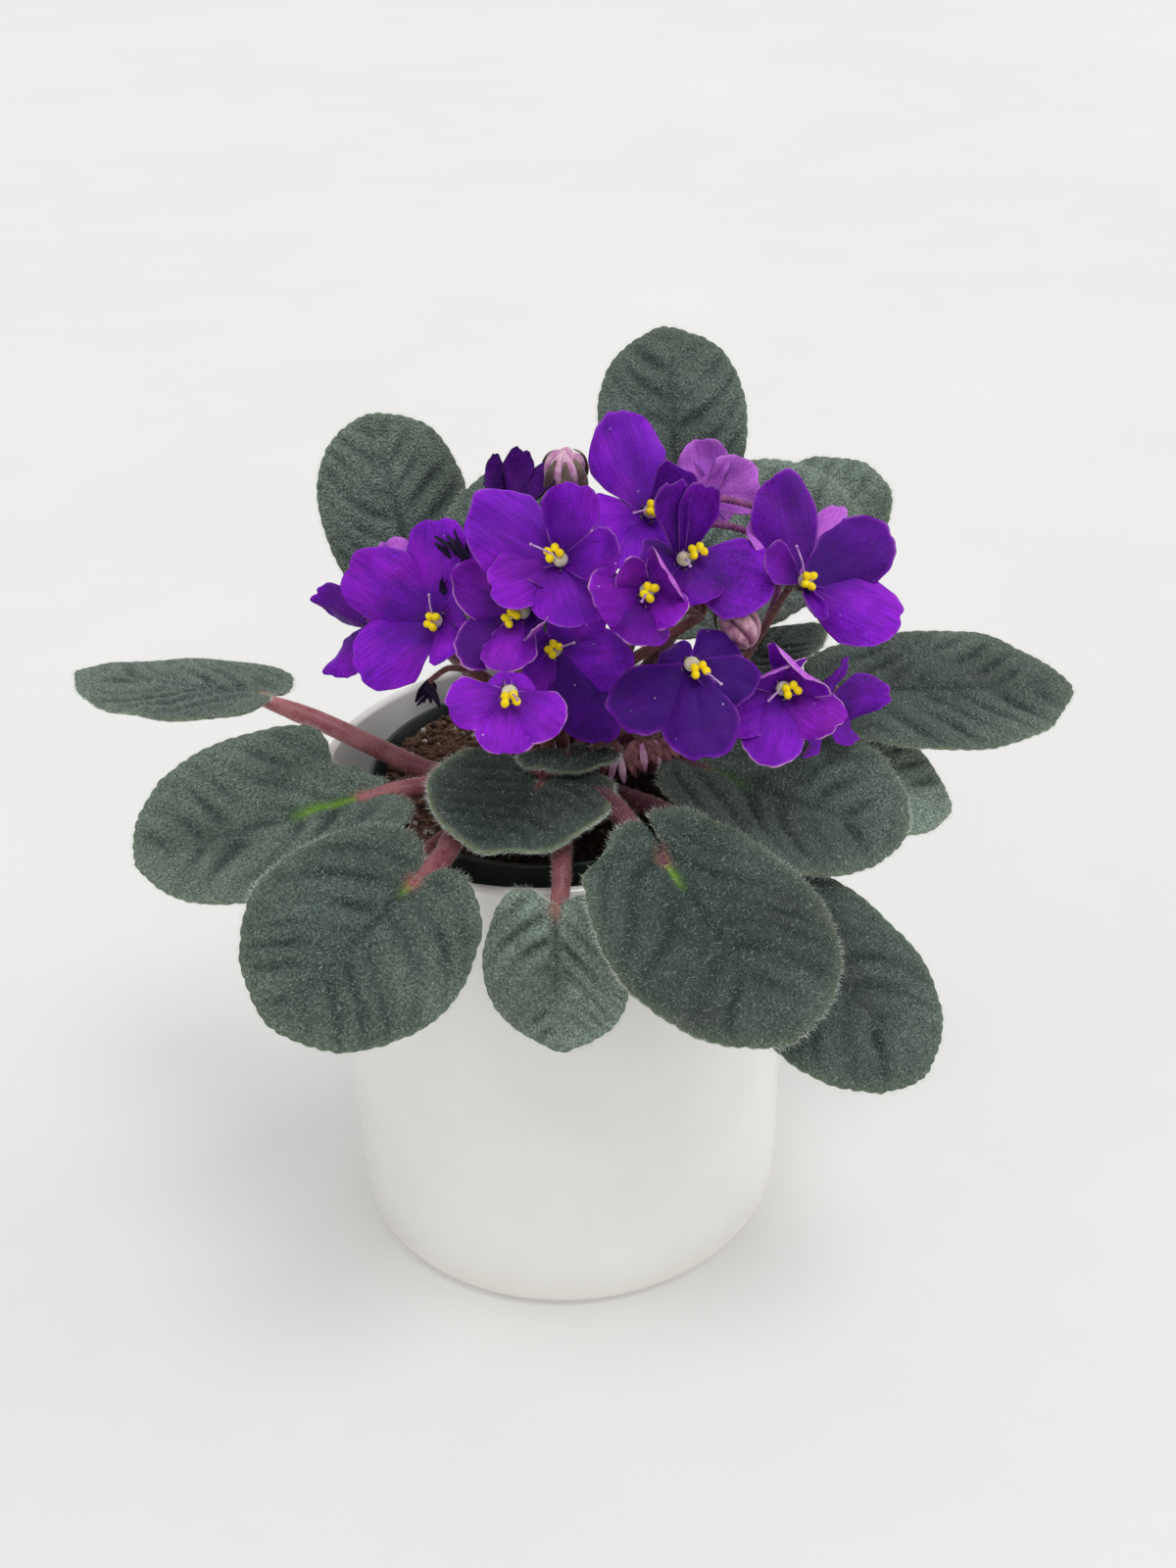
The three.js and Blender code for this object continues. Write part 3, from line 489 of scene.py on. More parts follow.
def dark_plastic():
    finish = Finish("dark_plastic", Specular_IOR_Level=0.5)
    tint = finish.mottled(rgb(0.014, 0.024, 0.020), rgb(0.030, 0.048, 0.040), 60, 700)
    dust = finish.patches(45, 4.0, 0.5, 0.75, 0.0, 0.3)
    finish.colour(finish.mix(dust, tint["Tint"], rgb(0.12, 0.11, 0.09)))
    finish.rough(finish.span(dust, 0, 0.3, 0.34, 0.6))
    finish.skin(1800, 200, 0.25, 0.0002)
    return finish.material


def pale_floor():
    finish = Finish("pale_floor", Emission_Color=rgb(1, 0.99, 0.985), Emission_Strength=0.19)
    tint = finish.mottled(rgb(0.63, 0.628, 0.622), rgb(0.66, 0.657, 0.652), 1.5, 9)
    finish.colour(tint["Tint"])
    finish.rough_between(tint["Mask"], 0.7, 0.8)
    return finish.material


LEAF_MARGIN = plant_skin("leaf_margin", rgb(0.07, 0.10, 0.06), rgb(0.17, 0.22, 0.13), (200, 1800),
                         (0.5, 0.7), (2200, 500, 0.4, 0.0002),
                         Sheen_Weight=0.3, Sheen_Roughness=0.5)
LEAF_FACES = (leaf_upper(), leaf_under(), LEAF_MARGIN)
WHITE_HAIR = hair("white_hair", rgb(0.55, 0.63, 0.56), rgb(0.92, 0.97, 0.92))
ROSE_HAIR = hair("rose_hair", rgb(0.62, 0.42, 0.40), rgb(0.88, 0.78, 0.74))
STALK_SKIN = fleshy_stalk()
STEM_SKIN = plant_skin("flower_stem", rgb(0.085, 0.024, 0.026), rgb(0.22, 0.075, 0.062),
                       (180, 1500), (0.4, 0.6), (2200, 400, 0.5, 0.0002),
                       Sheen_Weight=0.25, Sheen_Roughness=0.4, Specular_IOR_Level=0.45)
SEPAL_SKIN = plant_skin("sepal", rgb(0.075, 0.040, 0.034), rgb(0.21, 0.15, 0.11), (260, 1500),
                        (0.45, 0.65), (2400, 500, 0.5, 0.0002),
                        Sheen_Weight=0.3, Sheen_Roughness=0.4)
# for the face, the back and the rim: deep, bright, magenta, edge and pale rim
PETAL_FACES = (
    petal("petal_face", rgb(0.035, 0.003, 0.14), rgb(0.29, 0.012, 0.80), rgb(0.40, 0.018, 0.58),
          rgb(0.34, 0.015, 0.72), rgb(0.62, 0.30, 0.60), 0.12),
    petal("petal_back", rgb(0.32, 0.045, 0.48), rgb(0.72, 0.22, 0.95), rgb(0.64, 0.15, 0.68),
          rgb(0.66, 0.26, 0.80), rgb(0.70, 0.46, 0.66), 0.06),
    petal("petal_rim", rgb(0.05, 0.006, 0.16), rgb(0.16, 0.02, 0.36), rgb(0.18, 0.02, 0.30),
          rgb(0.16, 0.03, 0.34), rgb(0.55, 0.30, 0.52), 0.04),
)
DARK_PETALS = (
    petal("dark_petal_face", rgb(0.030, 0.006, 0.085), rgb(0.22, 0.025, 0.52),
          rgb(0.20, 0.018, 0.36), rgb(0.010, 0.008, 0.020), rgb(0.05, 0.02, 0.06), 0.05),
    petal("dark_petal_back", rgb(0.020, 0.012, 0.040), rgb(0.14, 0.026, 0.30),
          rgb(0.07, 0.014, 0.10), rgb(0.018, 0.014, 0.024), rgb(0.05, 0.02, 0.06), 0.05),
    petal("dark_petal_rim", rgb(0.008, 0.008, 0.012), rgb(0.026, 0.016, 0.034),
          rgb(0.02, 0.01, 0.02), rgb(0.02, 0.012, 0.024), rgb(0.03, 0.02, 0.03), 0.05),
)
ANTHER_SKIN = plant_skin("anther_skin", rgb(0.90, 0.60, 0.0), rgb(1.0, 0.84, 0.008), (600, 3000),
                         (0.4, 0.65), (5000, 900, 0.4, 0.00015), Specular_IOR_Level=0.25)
OVARY_SKIN = soft_skin("ovary_skin", rgb(0.48, 0.40, 0.27), rgb(0.76, 0.73, 0.55),
                       (0.42, 0.6), 0.2)
STYLE_SKIN = soft_skin("style_skin", rgb(0.38, 0.16, 0.50), rgb(0.62, 0.40, 0.66))
BUD_PINK = soft_skin("bud_pink", rgb(0.58, 0.22, 0.46), rgb(0.86, 0.60, 0.72), sheen=0.2,
                     crease_shade=rgb(0.34, 0.05, 0.28))
BUD_MAROON = soft_skin("bud_maroon", rgb(0.36, 0.12, 0.22), rgb(0.68, 0.40, 0.48), sheen=0.2,
                       crease_shade=rgb(0.10, 0.02, 0.07))
YOUNG_SEPAL = soft_skin("young_sepal", rgb(0.13, 0.032, 0.042), rgb(0.36, 0.15, 0.16),
                        (0.42, 0.6))
PURPLE_STEM = soft_skin("purple_stem", rgb(0.11, 0.016, 0.10), rgb(0.30, 0.06, 0.26))
SOIL_SKIN = potting_soil("peat", rgb(0.050, 0.026, 0.018), rgb(0.22, 0.13, 0.085))
FIBRE_SKIN = potting_soil("coir_fibre", rgb(0.12, 0.065, 0.036), rgb(0.36, 0.23, 0.14))
GRIT_SKIN = potting_soil("pale_grit", rgb(0.36, 0.32, 0.27), rgb(0.68, 0.65, 0.6))

# ------------------------------------------------------------ shaping helpers


def piece(name, bm, finishes, nodes=(), smooth=True):
    """Turns a finished bmesh into a piece of the plant that rides on the frame."""
    mesh = bpy.data.meshes.new(name)
    for face in bm.faces:
        face.smooth = smooth
    bm.to_mesh(mesh)
    bm.free()
    for finish in finishes:
        mesh.materials.append(finish)
    made = bpy.data.objects.new(name, mesh)
    bpy.context.scene.collection.objects.link(made)
    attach(made, "root")
    if nodes:
        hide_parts(*nodes)
    return made


class Stamp:
    """A small shape made once, which is set down again and again at its own places."""

    def __init__(self, name, bm):
        self.mesh = bpy.data.meshes.new(name)
        bm.to_mesh(self.mesh)
        bm.free()
        self.rest = [value for vertex in self.mesh.vertices for value in vertex.co]

    def put(self, bm, matrix, material=0):
        self.mesh.vertices.foreach_set("co", self.rest)
        self.mesh.transform(matrix)
        for face in self.mesh.polygons:
            face.material_index = material
        bm.from_mesh(self.mesh)


def gather(target, source, material=None):
    """Adds one bmesh to another and frees it."""
    if material is not None:
        for face in source.faces:
            face.material_index = material
    mesh = bpy.data.meshes.new("gathered")
    source.to_mesh(mesh)
    source.free()
    target.from_mesh(mesh)
    bpy.data.meshes.remove(mesh)


def hair_stamp():
    bm = bmesh.new()
    bmesh.ops.create_cone(bm, cap_ends=True, cap_tris=True, segments=3, radius1=1, radius2=0,
                          depth=1)
    bmesh.ops.translate(bm, vec=(0, 0, 0.5), verts=bm.verts)
    return Stamp("hair", bm)


def crumb_stamp():
    bm = bmesh.new()
    bmesh.ops.create_icosphere(bm, subdivisions=1, radius=1)
    for vertex in bm.verts:
        vertex.co *= 1 + 0.5 * noise.noise(vertex.co * 3)
    return Stamp("crumb", bm)


HAIR = hair_stamp()
CRUMB = crumb_stamp()
ROOTED = 0.05 * MM      # how deep a hair stands in its skin
SORTING = Vector((0.83, 1.27, 1.91))    # a way along which no two faces share a place


def unit_noise(rng):
    return Vector((rng.uniform(-1, 1), rng.uniform(-1, 1), rng.uniform(-1, 1)))


def clamp(value):
    return min(1, max(0, value))


def bell(offset, width):
    """A soft bump: 1 at no offset, and all but gone past twice the width."""
    return math.exp(-(offset / width) ** 2)


def stand(at, direction, thickness, length):
    """The matrix that stands a unit shape at a place, along a direction."""
    turn = direction.to_track_quat("Z", "Y").to_matrix().to_4x4()
    return Matrix.Translation(at) @ turn @ Matrix.Diagonal((thickness, thickness, length, 1))


def grow_hairs(target, surface, count, length, thickness, lean, seed):
    """Hairs scattered evenly over the faces of a surface, standing off it, in millimetres."""
    rng = random.Random(seed)
    faces = surface.faces[:]
    for face in rng.choices(faces, weights=[face.calc_area() for face in faces], k=count):
        shares = [rng.random() + 0.01 for _ in face.verts]
        at = sum((v.co * s for v, s in zip(face.verts, shares)), Vector()) / sum(shares)
        way = face.normal + lean * unit_noise(rng)
        long = length * MM * rng.uniform(0.6, 1.25)
        HAIR.put(target, stand(at - ROOTED * face.normal, way, thickness * MM, long))


def smooth_line(points, steps):
    """Points along a centripetal spline through the given ones, ends included."""
    line = [2 * points[0] - points[1], *points, 2 * points[-1] - points[-2]]
    made = []
    for p0, p1, p2, p3 in zip(line, line[1:], line[2:], line[3:]):
        knots = [0.0]
        for a, b in ((p0, p1), (p1, p2), (p2, p3)):
            knots.append(knots[-1] + max((b - a).length, 1e-6) ** 0.5)
        t0, t1, t2, t3 = knots
        for step in range(steps):
            t = t1 + (t2 - t1) * step / steps
            a1 = p0 * ((t1 - t) / (t1 - t0)) + p1 * ((t - t0) / (t1 - t0))
            a2 = p1 * ((t2 - t) / (t2 - t1)) + p2 * ((t - t1) / (t2 - t1))
            a3 = p2 * ((t3 - t) / (t3 - t2)) + p3 * ((t - t2) / (t3 - t2))
            b1 = a1 * ((t2 - t) / (t2 - t0)) + a2 * ((t - t0) / (t2 - t0))
            b2 = a2 * ((t3 - t) / (t3 - t1)) + a3 * ((t - t1) / (t3 - t1))
            made.append(b1 * ((t2 - t) / (t2 - t1)) + b2 * ((t - t1) / (t2 - t1)))
    return made + [points[-1].copy()]


def grow_tube(line, radius_at, sides=12, bumps=0.0, flat=1.0, across=None):
    """A closed tube or strap in metres, grown ring by ring along a line in millimetres."""
    bm = bmesh.new()
    reach = bm.verts.layers.float.new("reach")
    frames = []
    side = across
    for i, point in enumerate(line):
        way = (line[min(i + 1, len(line) - 1)] - line[max(i - 1, 0)]).normalized()
        side = way.orthogonal() if side is None else side - way * side.dot(way)
        side.normalize()
        radius = radius_at(i / (len(line) - 1))
        axes = Matrix((side * radius, way.cross(side) * radius * flat, way * radius))
        frames.append(Matrix.Translation(point) @ axes.transposed().to_4x4())
    ring = bmesh.ops.create_circle(bm, segments=sides, radius=1, matrix=frames[0])["verts"]
    edges = bm.edges[:]
    bmesh.ops.holes_fill(bm, edges=edges)
    for i in range(1, len(frames)):
        grown = bmesh.ops.extrude_edge_only(bm, edges=edges)["geom"]
        ring = [item for item in grown if isinstance(item, bmesh.types.BMVert)]
        kept = set(ring)
        edges = [item for item in grown
                 if isinstance(item, bmesh.types.BMEdge) and kept.issuperset(item.verts)]
        bmesh.ops.transform(bm, matrix=frames[i] @ frames[i - 1].inverted(), verts=ring)
        for vertex in ring:
            vertex[reach] = i / (len(frames) - 1)
    bmesh.ops.holes_fill(bm, edges=edges)
    if bumps:
        for vertex in bm.verts:
            grain = unit_noise(RNG) * 0.2 * bumps
            vertex.co += grain + noise.noise_vector(vertex.co * 0.35) * bumps
    bmesh.ops.scale(bm, vec=(MM, MM, MM), verts=bm.verts)
    bmesh.ops.recalc_face_normals(bm, faces=bm.faces)
    settle(bm)
    return bm


def turned(profile, steps=128):
    """A closed turned shape from radius and height pairs, in millimetres."""
    bm = bmesh.new()
    verts = [bm.verts.new((radius * MM, 0, height * MM)) for radius, height in profile]
    edges = [bm.edges.new(pair) for pair in zip(verts, verts[1:])]
    bmesh.ops.spin(bm, geom=verts + edges, axis=(0, 0, 1), cent=(0, 0, 0), angle=2 * math.pi,
                   steps=steps, use_merge=True)
    bmesh.ops.remove_doubles(bm, verts=bm.verts, dist=1e-6)
    bmesh.ops.recalc_face_normals(bm, faces=bm.faces)
    settle(bm)
    return bm


def settle(bm):
    """Sorts faces by where they are, because some operators leave them in any order."""
    bm.faces.sort(key=lambda face: face.calc_center_median().dot(SORTING))


def disc_grid(cells):
    """A grid whose corners are drawn in, so that it fills a unit disc."""
    bm = bmesh.new()
    bmesh.ops.create_grid(bm, x_segments=cells, y_segments=cells, size=1)
    for vertex in bm.verts:
        x, y = vertex.co.x, vertex.co.y
        vertex.co.x = x * math.sqrt(1 - y * y / 2)
        vertex.co.y = y * math.sqrt(1 - x * x / 2)
    return bm


def thicken(made, thickness):
    """Gives a sheet its thickness: the second finish for its back and the third for its rim."""
    shell = made.modifiers.new("blade thickness", "SOLIDIFY")
    shell.thickness = thickness * MM
    shell.offset = -1
    shell.material_offset = 1
    shell.material_offset_rim = 2
    shell.use_even_offset = False


def stem_meshes():
    """An empty mesh for the tissue of stems, and one for the hairs on it."""
    whole = bmesh.new()
    whole.verts.layers.float.new("reach")
    return whole, bmesh.new()


# ------------------------------------------------------------ leaves

MIDDLE = 0.45           # centre of the blade along its midrib, as a share of its length
BLADE_THICKNESS = 0.9
SIDE_VEINS = 5.6        # on each side of the midrib
VEIN_WIDTH, VEIN_DEPTH = 0.2, 1.2       # the width as a share of the room between two veins
MIDRIB_WIDTH, MIDRIB_DEPTH = 1.3, 1.1
TOOTH_DEPTH = 0.014     # of the scalloped edge, as a share of the radius
QUILTING, PUCKERS, WAVES = 0.7, 0.12, 1.7   # heights of the blade's broad and fine relief
EDGE_TURN = 0.8         # how far the margin turns down
LOBE_STEP = 0.5         # how far one lobe lies above the middle, and the other below it
STALK_OFFSET = 4        # from the crown's axis to where the stalks leave it
# how far the lobes reach back past the stalk's joint, as a share of the blade's length
LOBES = {"left": 0.18, "far_left": 0.07, "front": 0.15, "front_right": 0.2, "front_left": 0.19,
         "inner_front": 0.28}
# half width of the notch between the lobes, in radians
NOTCHES = {"front": 0.34, "left": 0.2, "inner_front": 0.34}
# how far the lobes close over the notch
CLOSING = {"left": 3.4, "front_right": 6.5, "front": 0.0, "low_right": 2.5, "right": 4.0}
# how far the lobes stand up over the stalk
RISING = {"front_right": 3.4}
POINTED = ("front", "far_right")
# length of the fresh green streak that runs on from the stalk, and how clear it is
STREAKS = {"left": (0.36, 0.95), "front_left": (0.15, 1.0), "front_right": (0.22, 0.9),
           "front": (0.06, 0.7), "right": (0.3, 0.2), "inner_front": (0.1, 0.3),
           "far_left": (0.08, 0.8)}
# how rosy a stalk is by its blade: partly its own colour, partly painted light on the front and left
# stalks, which the light reaches
STALK_GLOW = {"far_left": 1.0, "left": 0.75, "front_left": 0.6, "front": 0.65,
              "left_under": 0.5}


def leaf_axes(heading, tilt, roll):
    h, t = math.radians(heading), math.radians(tilt)
    along = Vector((math.cos(h) * math.cos(t), math.sin(h) * math.cos(t), math.sin(t)))
    right = Vector((math.sin(h), -math.cos(h), 0))
    up = right.cross(along)
    turn = Matrix.Rotation(-math.radians(roll), 3, along)
    return along, turn @ right, turn @ up


def scalloped_heart(name, angle, share, ring, teeth):
    """How far a place of the unit disc lies from the middle of a scalloped heart."""
    lobes = LOBES.get(name, 0.2)
    from_notch = math.pi - abs(angle)
    heart = 1 - lobes / (MIDDLE + lobes) * bell(from_notch, NOTCHES.get(name, 0.17))
    if name == "left" and angle < 0:
        heart -= 0.34 * bell(from_notch - 0.62, 0.27)
    heart *= 1 + 0.09 * bell(from_notch - 0.6, 0.35)
    scallop = 1 - abs(math.sin(teeth / 2 * angle)) ** 0.7
    tooth = 1 - TOOTH_DEPTH * scallop * share ** 12
    wander = 1 + 0.04 * share ** 2 * noise.noise(ring * 1.4) + 0.012 * noise.noise(ring * 6)
    point = 1 + (0.08 if name in POINTED else 0.03) * share ** 4 * bell(angle, 0.22)
    return share * heart * tooth * wander * point


def veins(x, s, side, here):
    """How deep the side veins and the midrib run at a place of the blade, from 0 to 1."""
    bend = 0.8 * noise.noise(here * 0.045)
    phase = (s - 0.30 * side - 0.2 * side * side) * SIDE_VEINS + bend
    off = abs((phase + 0.5) % 1 - 0.5)
    drift = 0.7 + 1.3 * noise.noise(here * 0.07 + Vector((9, 2, 0)))
    strong = min(1.0, max(0.15, drift))
    vein = bell(off, VEIN_WIDTH) * min(1, abs(x) / 3 + 0.2) * strong
    midrib = bell(x, MIDRIB_WIDTH) * clamp(1.1 - s) * (s > -0.01)
    return vein, midrib


def leaf_blade(name, leaf, seed):
    """A cupped and quilted blade, with masks for its veins, streak, margin, tone and joint."""
    length, width = leaf.size
    cup, droop = leaf.curve
    along, right, up = leaf_axes(*leaf.turn)
    base = Vector(leaf.base)
    teeth = round((length + width) * 0.5)
    closing, rising = CLOSING.get(name, 1.5), RISING.get(name, 0)
    lobe_start = 0.05 if closing > 3 else 0.12
    streak_length, fresh = STREAKS.get(name, (0.12, 0.15))
    margin = 0.95 if name.startswith("inner") else 0.35
    bm = disc_grid(leaf.cells)
    tissue = bm.verts.layers.float_color.new("tissue")
    joint = bm.verts.layers.float.new("joint")
    drift = Vector((seed * 7.3, seed * 3.1, 0))
    rims = []
    for vertex in bm.verts:
        u, v = vertex.co.x, vertex.co.y
        share = min(1.0, math.hypot(u, v))
        angle = math.atan2(-u, v)
        ring = Vector((math.cos(angle), math.sin(angle), seed * 2.7))
        radius = scalloped_heart(name, angle, share, ring, teeth)
        reach = 1 - MIDDLE if v > 0 else MIDDLE + LOBES.get(name, 0.2)
        x = -radius * (width / 2) * math.sin(angle)
        y = length * (MIDDLE + radius * reach * math.cos(angle))
        s = y / length
        lobe = clamp(-s / lobe_start) * share
        x -= math.copysign(min(abs(x) * 0.92, closing * lobe), x)
        side = abs(x) / (width / 2)
        here = Vector((x, y, 0)) + drift
        fade = 1 - share ** 5
        vein, midrib = veins(x, s, side, here)
        z = cup * width * side ** 1.6 - droop * math.copysign(y * y / length, y)
        z -= (VEIN_DEPTH * vein + MIDRIB_DEPTH * midrib) * fade
        z += QUILTING * noise.noise(here * 0.12) * fade + PUCKERS * noise.noise(here * 0.7)
        z += WAVES * share ** 3 * noise.noise(ring * 2.1)
        z -= EDGE_TURN * share ** 10 + LOBE_STEP * lobe * (1 if x > 0 else -1) - rising * lobe
        vertex.co = (base + right * x + along * y + up * z) * MM
        streak = bell(x, 0.6 + 3.2 * max(0, s)) * clamp((streak_length - s) / 0.1) * (s > 0)
        # paler towards the margin and darker towards the middle: painted sheen and painted shade, over the
        # leaf's tone and a random drift
        paler = leaf.tone + 0.14 * (share - 0.75) + 0.1 * noise.noise(here * 0.035)
        vertex[tissue] = (max(vein, midrib) * fade, fresh * streak, margin * share ** 30,
                          clamp(paler))
        vertex[joint] = fresh * bell(math.hypot(x / 1.5, (y - 1) / 2.2), 1)
        if vertex.is_boundary:
            rims.append((vertex, (right * x + along * (y - length * MIDDLE)).normalized()))
    bm.normal_update()
    fuzz = bmesh.new()
    grow_hairs(fuzz, bm, round(leaf.hairs * 0.45), 1.4, 0.026, 1.6, seed)
    margin_hairs(fuzz, rims, up, seed + 100)
    blade = piece("blade_" + name, bm, LEAF_FACES, ("leaf_" + name,))
    thicken(blade, BLADE_THICKNESS)
    piece("down_" + name, fuzz, (WHITE_HAIR,), (), smooth=False)


def margin_hairs(fuzz, rims, up, seed):
    """Four rounds of hairs that stand out from the blade's edge."""
    rng = random.Random(seed)
    for vertex, outward in rims * 4:
        way = outward + 0.6 * unit_noise(rng) + 0.25 * up
        at = vertex.co - up * rng.uniform(0, 0.8) * MM
        HAIR.put(fuzz, stand(at, way, 0.027 * MM, rng.uniform(0.7, 2.0) * MM))


def crossing_share(start, end):
    """How far along a line it passes over the pot's rim, to the nearest hundredth."""
    for step in range(1, 100):
        point = start.lerp(end, step / 100)
        if math.hypot(point.x, point.y) > RIM_CROSSING:
            return step / 100
    return 0.5


def leaf_stalk(name, leaf):
    """The middle line and the radius of the fleshy stalk that carries a blade."""
    radius, bend, arch = leaf.stalk
    along, _, up = leaf_axes(*leaf.turn)
    base = Vector(leaf.base)
    root = CROWN + Vector((STALK_OFFSET, 0, STALK_ROOT))
    outward = (base - root) * Vector((1, 1, 0))
    start = root + outward.normalized() * 2.8
    end = base + along * 2.5 - up * (0.62 * radius + 0.7)
    if name == "far_left":
        over_rim = [Vector((-30, -4, 139)), Vector((-45, 2, 143.5)), Vector((-60, 6.5, 150))]
        return [start, *over_rim, end], radius
    joint = base - along * bend - up * (radius + 1.6)
    middle = start.lerp(joint, crossing_share(start, joint)) + Vector((0, 0, arch))
    return [start, middle, joint, end], radius


def stalk_taper(t):
    """A stalk narrows slowly, and quickly where it runs into its blade."""
    return 1.1 - 0.14 * t if t < 0.85 else 0.98 - 2.4 * (t - 0.85)


def rosette_stalks():
    whole, fuzz = stem_meshes()
    for seed, (name, leaf) in enumerate(LEAVES.items()):
        points, radius = leaf_stalk(name, leaf)
        glow = STALK_GLOW.get(name, 0.14)
        line = smooth_line(points, 12)
        tube = grow_tube(line, lambda t: radius * stalk_taper(t), 18, 0.06)
        reach = tube.verts.layers.float["reach"]
        for vertex in tube.verts:
            # partly painted light: rosier towards the blade and on the stalks out in the light
            vertex[reach] = glow * (0.35 + 0.65 * vertex[reach])
        grow_hairs(fuzz, tube, 1700 if leaf.hairs > 1500 else 500, 0.85, 0.021, 0.5, seed)
        gather(whole, tube)
    line = [CROWN + Vector((0, 0, CROWN_FOOT + 2 * step)) for step in range(11)]
    gather(whole, grow_tube(line, lambda t: 7 - 1.3 * t, 24, 0.5))
    piece("rosette_stalks", whole, (STALK_SKIN,), ("crown",))
    piece("rosette_stalk_hairs", fuzz, (ROSE_HAIR,), (), smooth=False)


# ------------------------------------------------------------ blooms


def flower_axes(azimuth, elevation):
    a, e = math.radians(azimuth), math.radians(elevation)
    front = Vector((math.cos(a) * math.cos(e), math.sin(a) * math.cos(e), math.sin(e)))
    top = Vector((-math.cos(a) * math.sin(e), -math.sin(a) * math.sin(e), math.cos(e)))
    return front, top, top.cross(front)


FOLD_STEPS = 50         # along a petal's middle line
SPARE_STEPS = 10        # past its end, for margins that are waved outward
PETAL_CELLS = 26
PETAL_THICKNESS = 0.26
PETAL_LAYERS = (-1.0, -0.2, 0.6, 0.0, -0.7)     # how far each lies in front of the others
TURNED_LAYER = -2.6


def fold_line(length, lift, curl):
    """Places on a petal's middle line, outward and forward, with its outer part curled over."""
    outward = forward = 0.0
    line = [(0.0, 0.0)]
    for step in range(FOLD_STEPS + SPARE_STEPS):
        t = (step + 0.5) / FOLD_STEPS
        curled = curl * max(0.0, t - 0.4) / 0.6
        slope = math.radians(lift * (0.4 + 1.2 * min(t, 1)) + curled)
        outward += length / FOLD_STEPS * math.cos(slope)
        forward += length / FOLD_STEPS * math.sin(slope)
        line.append((outward, forward))
    return line


def along_fold(line, t):
    """How far outward and forward the fold has come at a share of the petal's length."""
    at = min(max(t, 0) * FOLD_STEPS, FOLD_STEPS + SPARE_STEPS - 1.0)
    (out_a, up_a), (out_b, up_b) = line[int(at)], line[int(at) + 1]
    return out_a + (out_b - out_a) * (at % 1), up_a + (up_b - up_a) * (at % 1)


def petal_waves(x, radius, t, share, ring, seed):
    """The waves of a petal's margin, its broad puckers and its middle crease."""
    forward = 2.3 * share ** 3 * noise.noise(ring * 1.3 + Vector((3, 3, 0)))
    forward += 0.75 * share ** 6 * noise.noise(ring * 3.4)
    forward += 2.1 * t * noise.noise(Vector((x * 0.17, radius * 0.13, seed * 1.7)))
    return forward - 0.6 * bell(x, 0.9) * t * (1 - t) * 2


def petal_layers(bm):
    """The masks that the petals' finish reads."""
    layers = bm.verts.layers
    return layers.float_color.new("petal"), layers.float.new("paleness"), layers.float.new("painted_light_and_tone")


def one_petal(name, centre, axes, shape, order, paleness, seed):
    """One rounded petal, narrow at the throat, folded forward and softly waved."""
    front, top, right = axes
    azimuth, length, lift, width, cup, curl = Petal(*shape)
    folded = fold_line(length, lift, curl)
    bm = disc_grid(PETAL_CELLS)
    place, pale, painted_light_and_tone = petal_layers(bm)
    # painted light by bloom, a random tone by petal, and painted shade on petals whose sides fold forward
    glow = BLOOM_LIGHT[name] + 0.8 * noise.noise(Vector((seed * 3.3, 1, 8))) - 0.3 * (cup > 0.5)
    a = math.radians(azimuth)
    out = top * math.cos(a) - right * math.sin(a)
    side = top * math.sin(a) + right * math.cos(a)
    lean = 0.5 * noise.noise(Vector((seed * 1.9, 4, 4)))
    for vertex in bm.verts:
        u, v = vertex.co.x, vertex.co.y
        share = min(1.0, math.hypot(u, v))
        angle = math.atan2(u, v)
        ring = Vector((math.cos(angle), math.sin(angle), seed * 5.1))
        edge = 1 + 0.08 * share ** 3 * noise.noise(ring * 1.2)
        edge += 0.022 * share ** 8 * noise.noise(ring * 4.2)
        edge -= 0.03 * share ** 8 * bell(angle - lean, 0.16)
        t = (v + 1) / 2 * edge
        narrowing = 0.5 + 0.5 * min(1, t / 0.55) ** 1.3
        half = length * width / 2 * 1.08 * narrowing
        x = u * half * edge
        roll = cup * min(1, 0.25 + share)
        reach, forward = along_fold(folded, t)
        forward += half * (1 - math.cos(roll * u)) / roll - 2.5 * (1 - t) ** 2
        x *= math.sin(roll) / roll
        forward += 0.45 * order * min(1, t * 2.5)
        forward += petal_waves(x, t * length, t, share, ring, seed)
        vertex.co = (Vector(centre) + out * reach + side * x + front * forward) * MM
        vertex[place] = ((u + 1) / 2, t, share, (seed * 0.137) % 1)
        vertex[pale] = paleness
        vertex[painted_light_and_tone] = glow
    return bm


def corolla(name, bloom, seed):
    axes = flower_axes(*bloom.face)
    whole = bmesh.new()
    petal_layers(whole)
    for order, shape in zip(PETAL_LAYERS, bloom.petals):
        gather(whole, one_petal(name, bloom.centre, axes, shape, order, bloom.paleness,
                                seed * 5 + shape[0] * 0.1))
    for shape in TURNED_PETALS.get(name, ()):
        gather(whole, one_petal(name, bloom.centre, axes, shape, TURNED_LAYER, 0,
                                seed * 5 + shape[0] * 0.1), 1)
    skins = DARK_PETALS if name == "14" else PETAL_FACES
    made = piece("petals_" + name, whole, skins, ("corolla_" + name,))
    thicken(made, PETAL_THICKNESS)


def ball(bm, at, axes, radii, material, segments=12):
    """A small rounded body with its own axes, in millimetres."""
    made = bmesh.new()
    bmesh.ops.create_uvsphere(made, u_segments=segments, v_segments=segments - 4, radius=1)
    turn = Matrix([axis * radius * MM for axis, radius in zip(axes, radii)]).transposed().to_4x4()
    bmesh.ops.transform(made, matrix=Matrix.Translation(at * MM) @ turn, verts=made.verts)
    gather(bm, made, material)


